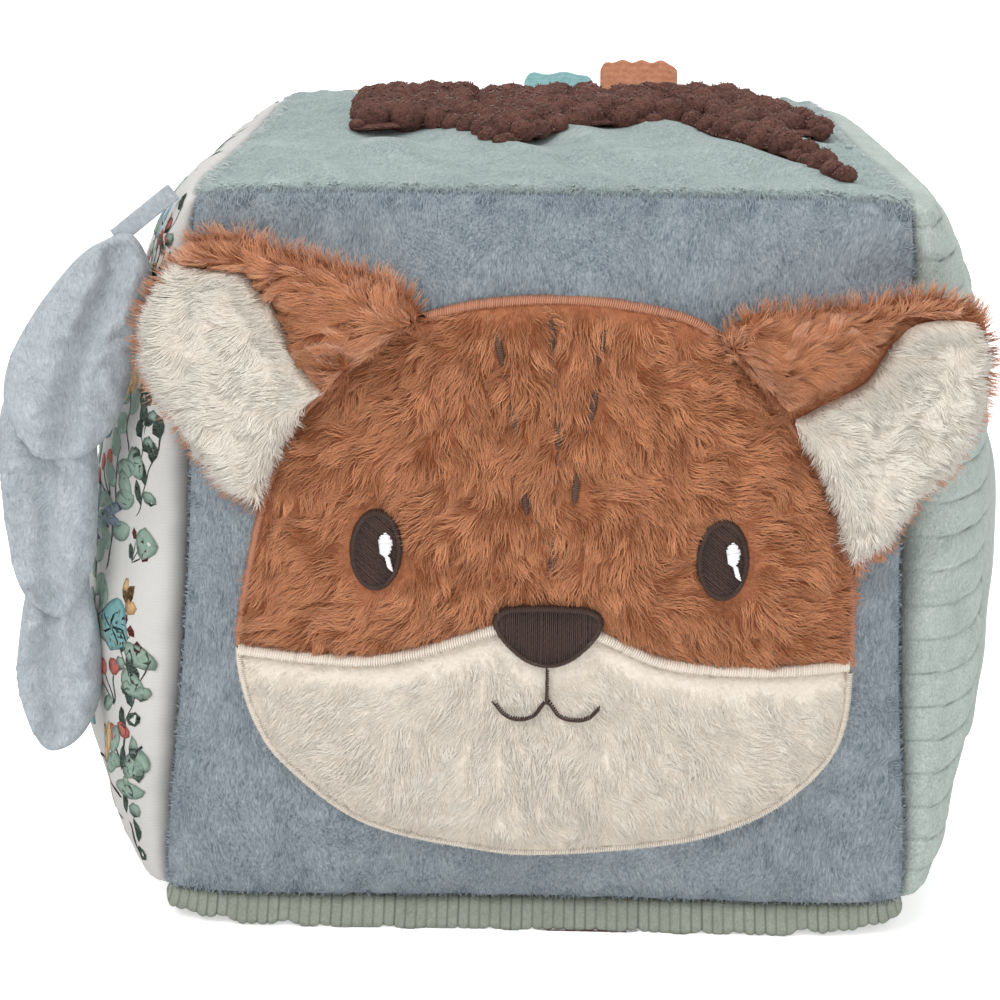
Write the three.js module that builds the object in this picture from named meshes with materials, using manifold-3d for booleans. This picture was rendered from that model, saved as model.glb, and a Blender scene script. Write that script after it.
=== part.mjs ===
// Soft activity cube: six padded covers round a stuffed core, with a furry animal face,
// two cupped ears, a bobbled branch, a hanging three-tier leaf, a mirror under a flap,
// two ribbon tabs and a rattle inside.
// Millimetres. X runs to the right, the face looks towards -Y and Z is up.
// The origin is on the floor, under the middle of the cube.
import * as THREE from 'three';
import { mergeVertices } from 'three/addons/utils/BufferGeometryUtils.js';
import Module from 'manifold-3d';

const wasm = await Module();
wasm.setup();

// Driving dimensions of the cube
const cube_side = 150;
const seam_height = 6;
const cover_thickness = 2;
const seam_gap = 0.3;
const fit_gap = 0.3;
const stuffing_gap = 0.7;
const front_bulge = 8;
const back_bulge = 10;
const left_bulge = 25;
const right_bulge = 21;
const top_bulge = 3;
const bottom_bulge = 12;
const seam_bow = 3;
const level_bow = 0.5;
const corner_pull = 1;
const sag_spread = 3;

// Driving dimensions of the corduroy on the right cover
const rib_pitch = 7.2;
const rib_height = 1.6;

// Driving dimensions of the face
const head_width = 124.6;
const head_height = 116.4;
const head_shift = 0.6;
const head_drop = 3;
const fur_thickness = 4;
const border_width = 2;
const border_thickness = 2.2;
const muzzle_line_drop = 16.5;
const muzzle_line_rise = 7.5;
const embroidery_thickness = 1.4;
const eye_width = 9.8;
const eye_height = 15.9;
const eye_spacing = 69.5;
const eye_shift = 1.2;
const eye_rise = 5;
const glint_width = 3;
const glint_height = 4.4;
const glint_thickness = 0.6;
const nose_width = 21.4;
const nose_height = 11.7;
const nose_drop = 7.1;
const mouth_width = 20.7;
const mouth_drop = 11.2;
const mouth_line = 1.1;
const dash_width = 1.8;
const dash_length = 6.6;

// Driving dimensions of the ears
const ear_size = 40;
const ear_thickness = 5;
const ear_lining_thickness = 5;
const ear_rim = 1.6;
const ear_seat_gap = 0.6;

// Driving dimensions of the bobbled branch and the patch below
const branch_length = 112;
const branch_depth = 118;
const bobble_pitch = 6.8;
const bobble_rise = 2.6;
const bobble_base = 2;
const patch_width = 21;
const patch_depth = 3.8;
const patch_inset = 1.5;
const patch_thickness = 0.8;

// Driving dimensions of the hanging leaf
const leaf_length = 114;
const leaf_swell = 5.6;
const leaf_rim = 1.2;
const leaf_step = 7;
const ribbon_length = 11;
const ribbon_width = 5;
const ribbon_thickness = 1;
const ribbon_slope = 34;

// Driving dimensions of the mirror, its frame and its flap
const window_depth = 66;
const window_height = 60;
const window_drop = 16;
const window_border = 9;
const window_corner = 8;
const window_thickness = 1.4;
const mirror_thickness = 0.9;
const flap_overhang = 2;
const flap_thickness = 2;

// Driving dimensions of the ribbon tabs
const tab_height = 11;
const tab_thickness = 2.4;
const teal_tab_width = 17;
const rust_tab_width = 19;
const tab_shift = 11;
const tab_gap = 0.8;
const tab_lean = 32;

// Driving dimensions of the rattle
const rattle_radius = 16;
const rattle_wall = 1.2;
const ball_radius = 5;

// Sizes worked out from the driving dimensions
const half = cube_side / 2;
const middle_z = seam_height + half;
const inner_reach = half - cover_thickness;
const core_reach = inner_reach - stuffing_gap;
const trimmed_share = 1 - seam_gap / half;
const head_half_width = head_width / 2;
const head_half_height = head_height / 2;
const beyond = cube_side;

// How full each cover is: powers near 0.4 are boxy, 1 is a gentle crown
const flat_power = 0.35;
const boxy_power = 0.45;
const soft_power = 0.6;
const corner_sharpness = 8;
const bow_sharpness = 6;
const panel_steps = 10;
const outline_steps = 56;
const small_steps = 14;

// Colours of the materials
const colours = {
  blue_plush: 0x83919d,
  mint_plush: 0xa2aead,
  beige_plush: 0xcbc3bc,
  white_cotton: 0xe4e3e0,
  mint_corduroy: 0xa7b0ac,
  sage_corduroy: 0x84857c,
  fox_fur: 0x9e6a4f,
  cream_fur: 0xd2c9c0,
  brown_thread: 0xa87a63,
  cream_thread: 0xd8cec2,
  dark_thread: 0x4c382f,
  white_thread: 0xf2f0ec,
  popcorn_chenille: 0x63433d,
  leaf_plush: 0xacb2b7,
  pale_ribbon: 0xbfc3c9,
  teal_ribbon: 0x6fa3a5,
  rust_ribbon: 0xb77959,
  mirror_film: 0xdfe3e6,
  stuffing: 0xf0eeea,
  rattle_shell: 0xe8e4dc,
};

// The six faces of the cube: outward normal, across and up directions, and bulge
const X = new THREE.Vector3(1, 0, 0);
const Y = new THREE.Vector3(0, 1, 0);
const Z = new THREE.Vector3(0, 0, 1);
const away = (direction) => direction.clone().negate();
const faces = {
  front: { normal: away(Y), across: X, up: Z, bulge: front_bulge, lift: 0, power: soft_power },
  back: { normal: Y, across: away(X), up: Z, bulge: back_bulge, lift: 0, power: soft_power },
  left: { normal: away(X), across: away(Y), up: Z, bulge: left_bulge, lift: -0.25, power: boxy_power },
  right: { normal: X, across: Y, up: Z, bulge: right_bulge, lift: 0, power: boxy_power },
  top: { normal: Z, across: X, up: Y, bulge: top_bulge, lift: 0, power: soft_power },
  bottom: { normal: away(Z), across: X, up: away(Y), bulge: bottom_bulge, lift: 0, power: flat_power },
};

// How far the seam and the corner draw a point in, along one of its three directions
function drawnIn(own, other, third, seam_draw) {
  const corner = corner_pull * Math.abs(own * other * third) ** corner_sharpness;
  const bow_other = Math.abs(other) ** bow_sharpness * (1 - third * third);
  const bow_third = Math.abs(third) ** bow_sharpness * (1 - other * other);
  const bow = seam_draw * Math.abs(own) ** bow_sharpness * (bow_other + bow_third);
  return Math.sign(own) * (corner + bow);
}

// A point of a stuffed face: u and v run from -1 to 1, rise is along the face's normal
function facePoint(face, u, v, reach, rise = 0, floor = 0, edge = trimmed_share) {
  const unit = face.normal.clone();
  unit.addScaledVector(face.across, u * edge);
  unit.addScaledVector(face.up, v * edge);
  const place = unit.clone().multiplyScalar(reach);
  place.x -= drawnIn(unit.x, unit.y, unit.z, seam_bow);
  place.y -= drawnIn(unit.y, unit.x, unit.z, seam_bow);
  place.z -= drawnIn(unit.z, unit.x, unit.y, level_bow);
  const shifted_v = (v - face.lift) / (1 - face.lift * v);
  const crown = ((1 - u * u) * (1 - shifted_v * shifted_v)) ** face.power;
  place.addScaledVector(face.normal, face.bulge * crown + rise);
  const spread = 1 - (sag_spread * place.z) / (half * half);
  place.x *= spread;
  place.y *= spread;
  place.z = Math.max(place.z + middle_z, floor);
  return place;
}

// Grid lines from -1 to 1 that close up towards the seams
function seamwardSteps(count) {
  return Array.from({ length: count + 1 }, (_, i) => Math.sin((i / count - 0.5) * Math.PI));
}

function evenSteps(count) {
  return Array.from({ length: count + 1 }, (_, i) => (2 * i) / count - 1);
}

// A closed sheet between two grids of points, the first on the outside
function closedSheet(columns, rows, outerAt, innerAt) {
  const positions = [];
  const index = [];
  const width = columns + 1;
  const layer = width * (rows + 1);
  for (const at of [outerAt, innerAt]) {
    for (let j = 0; j <= rows; j += 1) {
      for (let i = 0; i <= columns; i += 1) positions.push(...at(i, j).toArray());
    }
  }
  const outer = (i, j) => j * width + i;
  const inner = (i, j) => layer + j * width + i;
  const quad = (a, b, c, d) => index.push(a, b, c, a, c, d);
  for (let j = 0; j < rows; j += 1) {
    for (let i = 0; i < columns; i += 1) {
      quad(outer(i, j), outer(i + 1, j), outer(i + 1, j + 1), outer(i, j + 1));
      quad(inner(i, j), inner(i, j + 1), inner(i + 1, j + 1), inner(i + 1, j));
    }
  }
  for (let i = 0; i < columns; i += 1) {
    quad(inner(i, 0), inner(i + 1, 0), outer(i + 1, 0), outer(i, 0));
    quad(outer(i, rows), outer(i + 1, rows), inner(i + 1, rows), inner(i, rows));
  }
  for (let j = 0; j < rows; j += 1) {
    quad(inner(0, j), outer(0, j), outer(0, j + 1), inner(0, j + 1));
    quad(outer(columns, j), inner(columns, j), inner(columns, j + 1), outer(columns, j + 1));
  }
  return indexedGeometry(positions, index);
}

function indexedGeometry(positions, index) {
  const geometry = new THREE.BufferGeometry();
  geometry.setAttribute('position', new THREE.Float32BufferAttribute(positions, 3));
  geometry.setIndex(index);
  geometry.computeVertexNormals();
  return geometry;
}

// Between three.js geometry and solids that can be cut and joined
function toSolid(geometry) {
  const bare = geometry.clone();
  bare.deleteAttribute('normal');
  bare.deleteAttribute('uv');
  const merged = mergeVertices(bare);
  const vertProperties = new Float32Array(merged.attributes.position.array);
  const triVerts = new Uint32Array(merged.index.array);
  return new wasm.Manifold(new wasm.Mesh({ numProp: 3, vertProperties, triVerts }));
}

function toGeometry(solid) {
  const mesh = solid.getMesh();
  return indexedGeometry(Array.from(mesh.vertProperties), Array.from(mesh.triVerts));
}

function makePiece(name, geometry, colour, roughness = 0.95, metalness = 0) {
  const material = new THREE.MeshStandardMaterial({ color: colours[colour], roughness, metalness });
  const mesh = new THREE.Mesh(geometry, material);
  mesh.name = name;
  return mesh;
}

// A padded cover over one face, with ribs where rib_rise gives them a height
function coverGeometry(face, across_steps, up_steps, ribRise = () => 0) {
  const outerAt = (i, j) => facePoint(face, across_steps[i], up_steps[j], half, ribRise(j));
  const innerAt = (i, j) => facePoint(face, across_steps[i], up_steps[j], inner_reach, 0, cover_thickness);
  return closedSheet(across_steps.length - 1, up_steps.length - 1, outerAt, innerAt);
}

// A layer that follows a face between two heights above its cover
function layerSolid(face, low, high, across_steps, up_steps) {
  const far_below = -beyond;
  const outerAt = (i, j) => facePoint(face, across_steps[i], up_steps[j], half, high, far_below);
  const innerAt = (i, j) => facePoint(face, across_steps[i], up_steps[j], half, low, far_below);
  return toSolid(closedSheet(across_steps.length - 1, up_steps.length - 1, outerAt, innerAt));
}

// A straight prism over an outline drawn on a face, from the cube's middle outwards
function prismSolid(face, outline) {
  const shape = new THREE.Shape(outline.map(([across, up]) => new THREE.Vector2(across, up)));
  const geometry = new THREE.ExtrudeGeometry(shape, { depth: beyond, bevelEnabled: false });
  const placing = new THREE.Matrix4().makeBasis(face.across, face.up, face.normal);
  placing.setPosition(0, 0, middle_z);
  geometry.applyMatrix4(placing);
  return toSolid(geometry);
}

// Outlines are lists of [across, up] points, anticlockwise, about the face's middle
function smoothOutline(points, steps) {
  const corners = points.map(([across, up]) => new THREE.Vector3(across, up, 0));
  const curve = new THREE.CatmullRomCurve3(corners, true, 'centripetal');
  return curve.getPoints(steps).slice(0, steps).map((p) => [p.x, p.y]);
}

function ellipseOutline(across, up, width, height, steps) {
  return Array.from({ length: steps }, (_, i) => {
    const turn = (i / steps) * 2 * Math.PI;
    return [across + (width / 2) * Math.cos(turn), up + (height / 2) * Math.sin(turn)];
  });
}

function offsetOutline(outline, distance) {
  const count = outline.length;
  return outline.map(([across, up], i) => {
    const before = outline[(i + count - 1) % count];
    const after = outline[(i + 1) % count];
    const run = [after[0] - before[0], after[1] - before[1]];
    const length = Math.hypot(run[0], run[1]);
    return [across + (run[1] / length) * distance, up - (run[0] / length) * distance];
  });
}

function bandOutline(line, width) {
  const side = (sign) => line.map(([across, up], i) => {
    const before = line[Math.max(i - 1, 0)];
    const after = line[Math.min(i + 1, line.length - 1)];
    const run = [after[0] - before[0], after[1] - before[1]];
    const length = Math.hypot(run[0], run[1]);
    const reach = (sign * width) / 2 / length;
    return [across + run[1] * reach, up - run[0] * reach];
  });
  return [...side(1), ...side(-1).reverse()];
}

function scaledOutline(shares, width, height, across = 0, up = 0) {
  return shares.map(([s, t]) => [across + s * width, up + t * height]);
}

// A stuffed pillow over an outline: rings shrink to a centre, swelling front and back.
// It lies in its own X and Y, with its front towards its own Z.
function pillowGeometry(outline, centre, frontAt, backAt, ring_shares) {
  const count = outline.length;
  const positions = [];
  const index = [];
  for (const [heightAt] of [[frontAt], [backAt]]) {
    for (const share of ring_shares) {
      for (const [x, y] of outline) {
        const place_x = centre[0] + (x - centre[0]) * share;
        const place_y = centre[1] + (y - centre[1]) * share;
        positions.push(place_x, place_y, heightAt(share));
      }
    }
    positions.push(centre[0], centre[1], heightAt(0));
  }
  const rings = ring_shares.length;
  const back = rings * count + 1;
  for (let k = 0; k < rings; k += 1) {
    for (let i = 0; i < count; i += 1) {
      const next = (i + 1) % count;
      const here = k * count;
      if (k + 1 < rings) {
        const inside = here + count;
        index.push(here + i, here + next, inside + next, here + i, inside + next, inside + i);
        index.push(back + here + next, back + here + i, back + inside + i);
        index.push(back + here + next, back + inside + i, back + inside + next);
      } else {
        index.push(here + i, here + next, rings * count);
        index.push(back + here + next, back + here + i, back + rings * count);
      }
      if (k === 0) {
        index.push(back + i, back + next, next, back + i, next, i);
      }
    }
  }
  return indexedGeometry(positions, index);
}

const swell = (share) => Math.sqrt(Math.max(1 - share * share, 0));
const pillow_ring_shares = [1, 0.9, 0.6];

// Covers and core
const panel_grid = seamwardSteps(panel_steps);
const rib_rows = 2 * Math.round(cube_side / rib_pitch);
const rib_grid = evenSteps(rib_rows);

function makeCovers() {
  const plain = (name, face, colour) => makePiece(name, coverGeometry(face, panel_grid, panel_grid), colour);
  const ribRise = (j) => (j % 2 === 1 ? rib_height : 0);
  const ribbed = coverGeometry(faces.right, panel_grid, rib_grid, ribRise);
  return [
    plain('front_cover', faces.front, 'blue_plush'),
    plain('back_cover', faces.back, 'beige_plush'),
    plain('left_cover', faces.left, 'white_cotton'),
    plain('top_cover', faces.top, 'mint_plush'),
    plain('bottom_cover', faces.bottom, 'sage_corduroy'),
    makePiece('right_cover', ribbed, 'mint_corduroy'),
  ];
}

function coreSolid() {
  const positions = [];
  const grid = panel_grid;
  const floor = cover_thickness + stuffing_gap;
  for (const face of Object.values(faces)) {
    const at = (i, j) => facePoint(face, grid[i], grid[j], core_reach, 0, floor, 1).toArray();
    for (let j = 0; j + 1 < grid.length; j += 1) {
      for (let i = 0; i + 1 < grid.length; i += 1) {
        positions.push(...at(i, j), ...at(i + 1, j), ...at(i + 1, j + 1));
        positions.push(...at(i, j), ...at(i + 1, j + 1), ...at(i, j + 1));
      }
    }
  }
  const geometry = new THREE.BufferGeometry();
  geometry.setAttribute('position', new THREE.Float32BufferAttribute(positions, 3));
  return toSolid(mergeVertices(geometry, seam_gap / 100));
}

function blockSolid(low_z, high_z) {
  const block = new THREE.BoxGeometry(2 * beyond, 2 * beyond, high_z - low_z);
  block.translate(0, 0, (low_z + high_z) / 2);
  return toSolid(block);
}

function makeCore() {
  const facet_share = Math.cos(Math.PI / small_steps) ** 2;
  const pocket_radius = (rattle_radius + fit_gap) / facet_share;
  const pocket = new THREE.SphereGeometry(pocket_radius, small_steps, small_steps / 2);
  pocket.rotateX(Math.PI / 2);
  pocket.translate(0, 0, middle_z);
  const core = coreSolid().subtract(toSolid(pocket));
  const lower = core.intersect(blockSolid(-beyond, middle_z - fit_gap / 2));
  const upper = core.intersect(blockSolid(middle_z + fit_gap / 2, middle_z + beyond));
  return [
    makePiece('stuffing_lower', toGeometry(lower), 'stuffing'),
    makePiece('stuffing_upper', toGeometry(upper), 'stuffing'),
  ];
}

// Rattle: two half shells and a ball that slides up and down inside
function halfShell(side) {
  const arc_steps = small_steps / 2;
  const inner_radius = rattle_radius - rattle_wall;
  const gap_angle = Math.asin(fit_gap / 2 / inner_radius);
  const arc = (radius, i) => {
    const angle = gap_angle + (i / arc_steps) * (Math.PI / 2 - gap_angle);
    return new THREE.Vector2(radius * Math.cos(angle), side * radius * Math.sin(angle));
  };
  const profile = [];
  for (let i = 0; i <= arc_steps; i += 1) profile.push(arc(rattle_radius, i));
  for (let i = arc_steps; i >= 0; i -= 1) profile.push(arc(inner_radius, i));
  profile.push(profile[0].clone());
  for (const point of profile) point.x = Math.max(point.x, 0);
  profile[arc_steps].x = 0;
  profile[arc_steps + 1].x = 0;
  if (side < 0) profile.reverse();
  const shell = new THREE.LatheGeometry(profile, small_steps);
  shell.rotateX(Math.PI / 2);
  return shell;
}

function makeRattle() {
  const rattle = new THREE.Group();
  rattle.position.z = middle_z;
  const ball = new THREE.SphereGeometry(ball_radius, small_steps, small_steps / 2);
  const ball_piece = makePiece('rattle_ball', ball, 'rattle_shell', 0.3);
  ball_piece.position.z = -(rattle_radius - rattle_wall - ball_radius - fit_gap);
  rattle.add(makePiece('rattle_case_lower', halfShell(-1), 'rattle_shell', 0.4));
  rattle.add(makePiece('rattle_case_upper', halfShell(1), 'rattle_shell', 0.4));
  rattle.add(ball_piece);
  return rattle;
}

// Head outline, in shares of the head's half width and half height, from the right cheek
const head_outline_shares = [
  [1, -0.18], [1, 0], [0.95, 0.22], [0.88, 0.42], [0.72, 0.68], [0.6, 0.82], [0.47, 0.93],
  [0.24, 0.985], [0.03, 1], [-0.2, 0.985], [-0.37, 0.945], [-0.47, 0.9], [-0.58, 0.82],
  [-0.71, 0.69], [-0.8, 0.59], [-0.88, 0.42], [-0.93, 0.26], [-0.97, 0.02], [-1, -0.22],
  [-0.98, -0.38], [-0.92, -0.54], [-0.82, -0.68], [-0.56, -0.89], [-0.2, -0.985], [0.02, -1],
  [0.38, -0.955], [0.57, -0.9], [0.75, -0.8], [0.91, -0.64], [0.98, -0.47],
];

// Line between the brown fur and the muzzle, in shares of half width and of its own rise
const muzzle_line_shares = [
  [-1.2, -0.25], [-0.98, -0.25], [-0.76, -0.34], [-0.56, -0.34], [-0.38, 0], [-0.15, 0.66],
  [0.02, 1], [0.2, 0.4], [0.36, -0.2], [0.52, -0.42], [0.74, -0.5], [0.97, -0.42], [1.2, -0.42],
];

const head_outline = smoothOutline(
  scaledOutline(head_outline_shares, head_half_width, head_half_height, head_shift, -head_drop),
  outline_steps,
);

function muzzleLine() {
  const points = scaledOutline(
    muzzle_line_shares, head_half_width, muzzle_line_rise, head_shift, -muzzle_line_drop,
  );
  const curve = new THREE.SplineCurve(points.map(([x, y]) => new THREE.Vector2(x, y)));
  return curve.getPoints(small_steps).map((p) => [p.x, p.y]);
}

// Everything of the line's own band and below it, as far as the drop goes
function belowLine(line, shift) {
  const raised = line.map(([across, up]) => [across, up + shift]);
  const low = -beyond / 2;
  return [[raised[0][0], low], [raised[raised.length - 1][0], low], ...raised.reverse()];
}

function makeFace() {
  const front = faces.front;
  const low = fit_gap;
  const fur_top = low + fur_thickness;
  const thread_low = fur_top + fit_gap;
  const thread_high = thread_low + embroidery_thickness;
  const fur_layer = layerSolid(front, low, fur_top, panel_grid, panel_grid);
  const border_layer = layerSolid(front, low, low + border_thickness, panel_grid, panel_grid);
  const thread_layer = layerSolid(front, thread_low, thread_high, panel_grid, panel_grid);
  const glint_low = thread_high + fit_gap;
  const glint_layer = layerSolid(front, glint_low, glint_low + glint_thickness, panel_grid, panel_grid);
  const line = muzzleLine();
  const step = border_width / 2 + fit_gap;
  const head_inside = prismSolid(front, offsetOutline(head_outline, -border_width - fit_gap));
  const head_ring = prismSolid(front, head_outline)
    .subtract(prismSolid(front, offsetOutline(head_outline, -border_width)));
  const above_cut = prismSolid(front, belowLine(line, step));
  const below_cut = prismSolid(front, belowLine(line, -step));
  const chin_cut = prismSolid(front, belowLine(line, fit_gap / 2));
  const crown_cut = prismSolid(front, belowLine(line, -fit_gap / 2));
  const line_band = prismSolid(front, bandOutline(line, border_width));

  const onThread = (outline) => toGeometry(thread_layer.intersect(prismSolid(front, outline)));
  const pieces = [
    makePiece('face_fur', toGeometry(fur_layer.intersect(head_inside).subtract(above_cut)), 'fox_fur'),
    makePiece('muzzle_fur', toGeometry(fur_layer.intersect(head_inside).intersect(below_cut)), 'cream_fur'),
    makePiece('muzzle_border', toGeometry(border_layer.intersect(head_inside).intersect(line_band)), 'cream_thread'),
    makePiece('head_border', toGeometry(border_layer.intersect(head_ring).subtract(chin_cut)), 'brown_thread'),
    makePiece('chin_border', toGeometry(border_layer.intersect(head_ring).intersect(crown_cut)), 'cream_thread'),
  ];

  for (const side of [-1, 1]) {
    const label = side < 0 ? 'left' : 'right';
    const across = eye_shift + (side * eye_spacing) / 2;
    const eye = ellipseOutline(across, eye_rise, eye_width, eye_height, small_steps);
    const glint_across = across + glint_width / 4;
    const glint_up = eye_rise + eye_height / 8;
    const glint = ellipseOutline(glint_across, glint_up, glint_width, glint_height, small_steps / 2);
    pieces.push(makePiece(`eye_${label}`, onThread(eye), 'dark_thread'));
    const glint_solid = glint_layer.intersect(prismSolid(front, glint));
    pieces.push(makePiece(`eye_glint_${label}`, toGeometry(glint_solid), 'white_thread'));
  }
  pieces.push(...makeNoseAndMouth(onThread), ...makeForeheadDashes(onThread));
  return pieces;
}

// Nose outline and mouth lines, in shares of the nose's and the mouth's own sizes
const nose_outline_shares = [
  [0, -1], [0.3, -0.72], [0.5, -0.28], [0.48, -0.08], [0.36, 0], [-0.36, 0], [-0.48, -0.08],
  [-0.5, -0.28], [-0.28, -0.72],
];
const smile_shares = [
  [-0.5, -0.7], [-0.4, -0.92], [-0.26, -1], [-0.12, -0.92], [0, -0.64], [0.12, -0.92],
  [0.26, -1], [0.4, -0.96], [0.5, -0.78],
];

function makeNoseAndMouth(onThread) {
  const nose = scaledOutline(nose_outline_shares, nose_width, nose_height, 2 * head_shift, -nose_drop);
  const mouth_top = -nose_drop - nose_height - fit_gap;
  const smile = scaledOutline(smile_shares, mouth_width, mouth_drop, 2 * head_shift, mouth_top);
  const philtrum = [[2 * head_shift, mouth_top], [2 * head_shift, mouth_top - mouth_drop * 0.66]];
  const smile_prism = prismSolid(faces.front, bandOutline(smile, mouth_line));
  const mouth_prism = smile_prism.add(prismSolid(faces.front, bandOutline(philtrum, mouth_line)));
  const low = 2 * fit_gap + fur_thickness;
  const high = low + embroidery_thickness;
  const mouth = layerSolid(faces.front, low, high, panel_grid, panel_grid).intersect(mouth_prism);
  return [
    makePiece('nose', onThread(smoothOutline(nose, small_steps)), 'dark_thread'),
    makePiece('mouth_stitch', toGeometry(mouth), 'dark_thread'),
  ];
}

// Three rows of spindle stitches on the forehead: place in shares of the head, lean in degrees
const dash_shares = [
  { place: [-0.16, 0.82], lean: -12 }, { place: [-0.11, 0.6], lean: -10 }, { place: [-0.07, 0.32], lean: -6 },
  { place: [0.165, 0.84], lean: 12 }, { place: [0.14, 0.64], lean: 10 }, { place: [0.09, 0.36], lean: 6 },
  { place: [0.005, 0.88], lean: 0 }, { place: [0.03, 0.55], lean: 0 }, { place: [0.02, 0.12], lean: 0 },
];

function makeForeheadDashes(onThread) {
  return dash_shares.map(({ place, lean }, i) => {
    const turn = THREE.MathUtils.degToRad(lean);
    const across = head_shift + place[0] * head_half_width;
    const up = -head_drop + place[1] * head_half_height;
    const spindle = ellipseOutline(0, 0, dash_width, dash_length, small_steps / 2);
    const outline = spindle.map(([x, y]) => [
      across + x * Math.cos(turn) + y * Math.sin(turn),
      up - x * Math.sin(turn) + y * Math.cos(turn),
    ]);
    return makePiece(`forehead_stitch_${i + 1}`, onThread(outline), 'dark_thread');
  });
}

// Ears, in shares of the ear's size about the middle of its root, anticlockwise.
// The fold is the brown part that turns over to the front, the lining is the cream cup.
const ear_shares = {
  left: {
    root: [-0.7, 0.69],
    outline: [
      [0.5, 0.42], [0.24, 0.55], [-0.22, 0.67], [-0.44, 0.74], [-0.64, 0.73], [-0.74, 0.62],
      [-0.91, 0.38], [-0.93, 0.22], [-0.9, 0.02], [-0.68, -0.3], [-0.51, -0.56], [-0.41, -0.7],
      [-0.33, -0.42], [-0.29, -0.27], [-0.17, -0.11], [-0.03, 0.02], [0.17, 0.22], [0.36, 0.35],
    ],
    fold: [
      [0.46, 0.41], [0.24, 0.5], [-0.22, 0.63], [-0.44, 0.7], [-0.62, 0.7], [-0.7, 0.62],
      [-0.52, 0.6], [-0.36, 0.56], [-0.25, 0.42], [-0.16, 0.25], [-0.08, 0.07], [0.13, 0.24],
    ],
    lining: [
      [-0.28, 0.38], [-0.42, 0.54], [-0.58, 0.55], [-0.71, 0.55], [-0.84, 0.36], [-0.86, 0.22],
      [-0.84, 0.04], [-0.64, -0.27], [-0.49, -0.5], [-0.42, -0.6], [-0.37, -0.4], [-0.31, -0.25],
      [-0.2, -0.09], [-0.14, 0.04], [-0.2, 0.22],
    ],
    centre: [-0.42, 0.2],
    fold_centre: [-0.12, 0.4],
    lining_centre: [-0.5, 0.14],
  },
  right: {
    root: [0.76, 0.66],
    outline: [
      [0.46, -0.89], [0.54, -0.68], [0.65, -0.5], [0.81, -0.32], [0.92, -0.12], [0.96, 0.02],
      [0.98, 0.18], [0.95, 0.38], [0.9, 0.47], [0.82, 0.51], [0.62, 0.54], [0.34, 0.49], [0.1, 0.46],
      [-0.16, 0.44], [-0.38, 0.38], [-0.2, 0.21], [-0.02, 0.02], [0.12, -0.13], [0.26, -0.32],
      [0.35, -0.55],
    ],
    fold: [
      [0.3, 0.18], [0.42, 0.36], [0.56, 0.45], [0.8, 0.47], [0.62, 0.5], [0.34, 0.46], [0.1, 0.43],
      [-0.16, 0.41], [-0.34, 0.37], [-0.17, 0.21], [0, 0.05], [0.12, 0.08],
    ],
    lining: [
      [0.44, -0.78], [0.52, -0.62], [0.62, -0.46], [0.77, -0.29], [0.88, -0.1], [0.91, 0.18],
      [0.88, 0.34], [0.8, 0.4], [0.6, 0.38], [0.48, 0.26], [0.38, 0.1], [0.17, -0.03], [0.16, -0.13],
      [0.29, -0.32], [0.37, -0.54],
    ],
    centre: [0.42, 0.08],
    fold_centre: [0.16, 0.28],
    lining_centre: [0.58, -0.06],
  },
};

function makeEar(label) {
  const shares = ear_shares[label];
  const scaled = (points) => points.map(([s, t]) => [s * ear_size, t * ear_size]);
  const centre = scaled([shares.centre])[0];
  const fold_centre = scaled([shares.fold_centre])[0];
  const lining_centre = scaled([shares.lining_centre])[0];
  const back_outline = smoothOutline(scaled(shares.outline), 2 * small_steps);
  const fold_outline = smoothOutline(scaled(shares.fold), 2 * small_steps);
  const lining_outline = smoothOutline(scaled(shares.lining), 2 * small_steps);

  const front_level = ear_thickness;
  const back = pillowGeometry(
    back_outline,
    centre,
    (share) => ear_rim + (front_level - ear_rim) * swell(share),
    () => 0,
    pillow_ring_shares,
  );
  const fold_low = front_level - ear_rim / 2;
  const fold = pillowGeometry(
    fold_outline,
    fold_centre,
    (share) => front_level + ear_rim + ear_lining_thickness * swell(share),
    () => fold_low,
    pillow_ring_shares,
  );
  const lining_low = front_level + fit_gap;
  const cup_depth = ear_lining_thickness / 2;
  const lining = pillowGeometry(
    lining_outline,
    lining_centre,
    (share) => lining_low + ear_rim + (ear_lining_thickness - ear_rim) * swell(share)
      - cup_depth * (1 - share),
    () => lining_low,
    pillow_ring_shares,
  );
  const back_solid = toSolid(back).add(toSolid(fold));
  const grown_fold = pillowGeometry(
    offsetOutline(fold_outline, fit_gap),
    fold_centre,
    () => 2 * front_level + 2 * ear_lining_thickness,
    () => fold_low,
    pillow_ring_shares,
  );
  const lining_solid = toSolid(lining).subtract(toSolid(grown_fold));

  const ear = new THREE.Group();
  ear.rotation.x = Math.PI / 2;
  const root_x = head_shift + shares.root[0] * head_half_width;
  const root_up = -head_drop + shares.root[1] * head_half_height;
  const seat = facePoint(faces.front, root_x / half, root_up / half, half);
  ear.position.set(root_x, seat.y - ear_seat_gap, middle_z + root_up);
  ear.add(makePiece(`ear_${label}_back`, toGeometry(back_solid), 'fox_fur'));
  ear.add(makePiece(`ear_${label}_lining`, toGeometry(lining_solid), 'cream_fur'));
  return ear;
}

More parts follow.
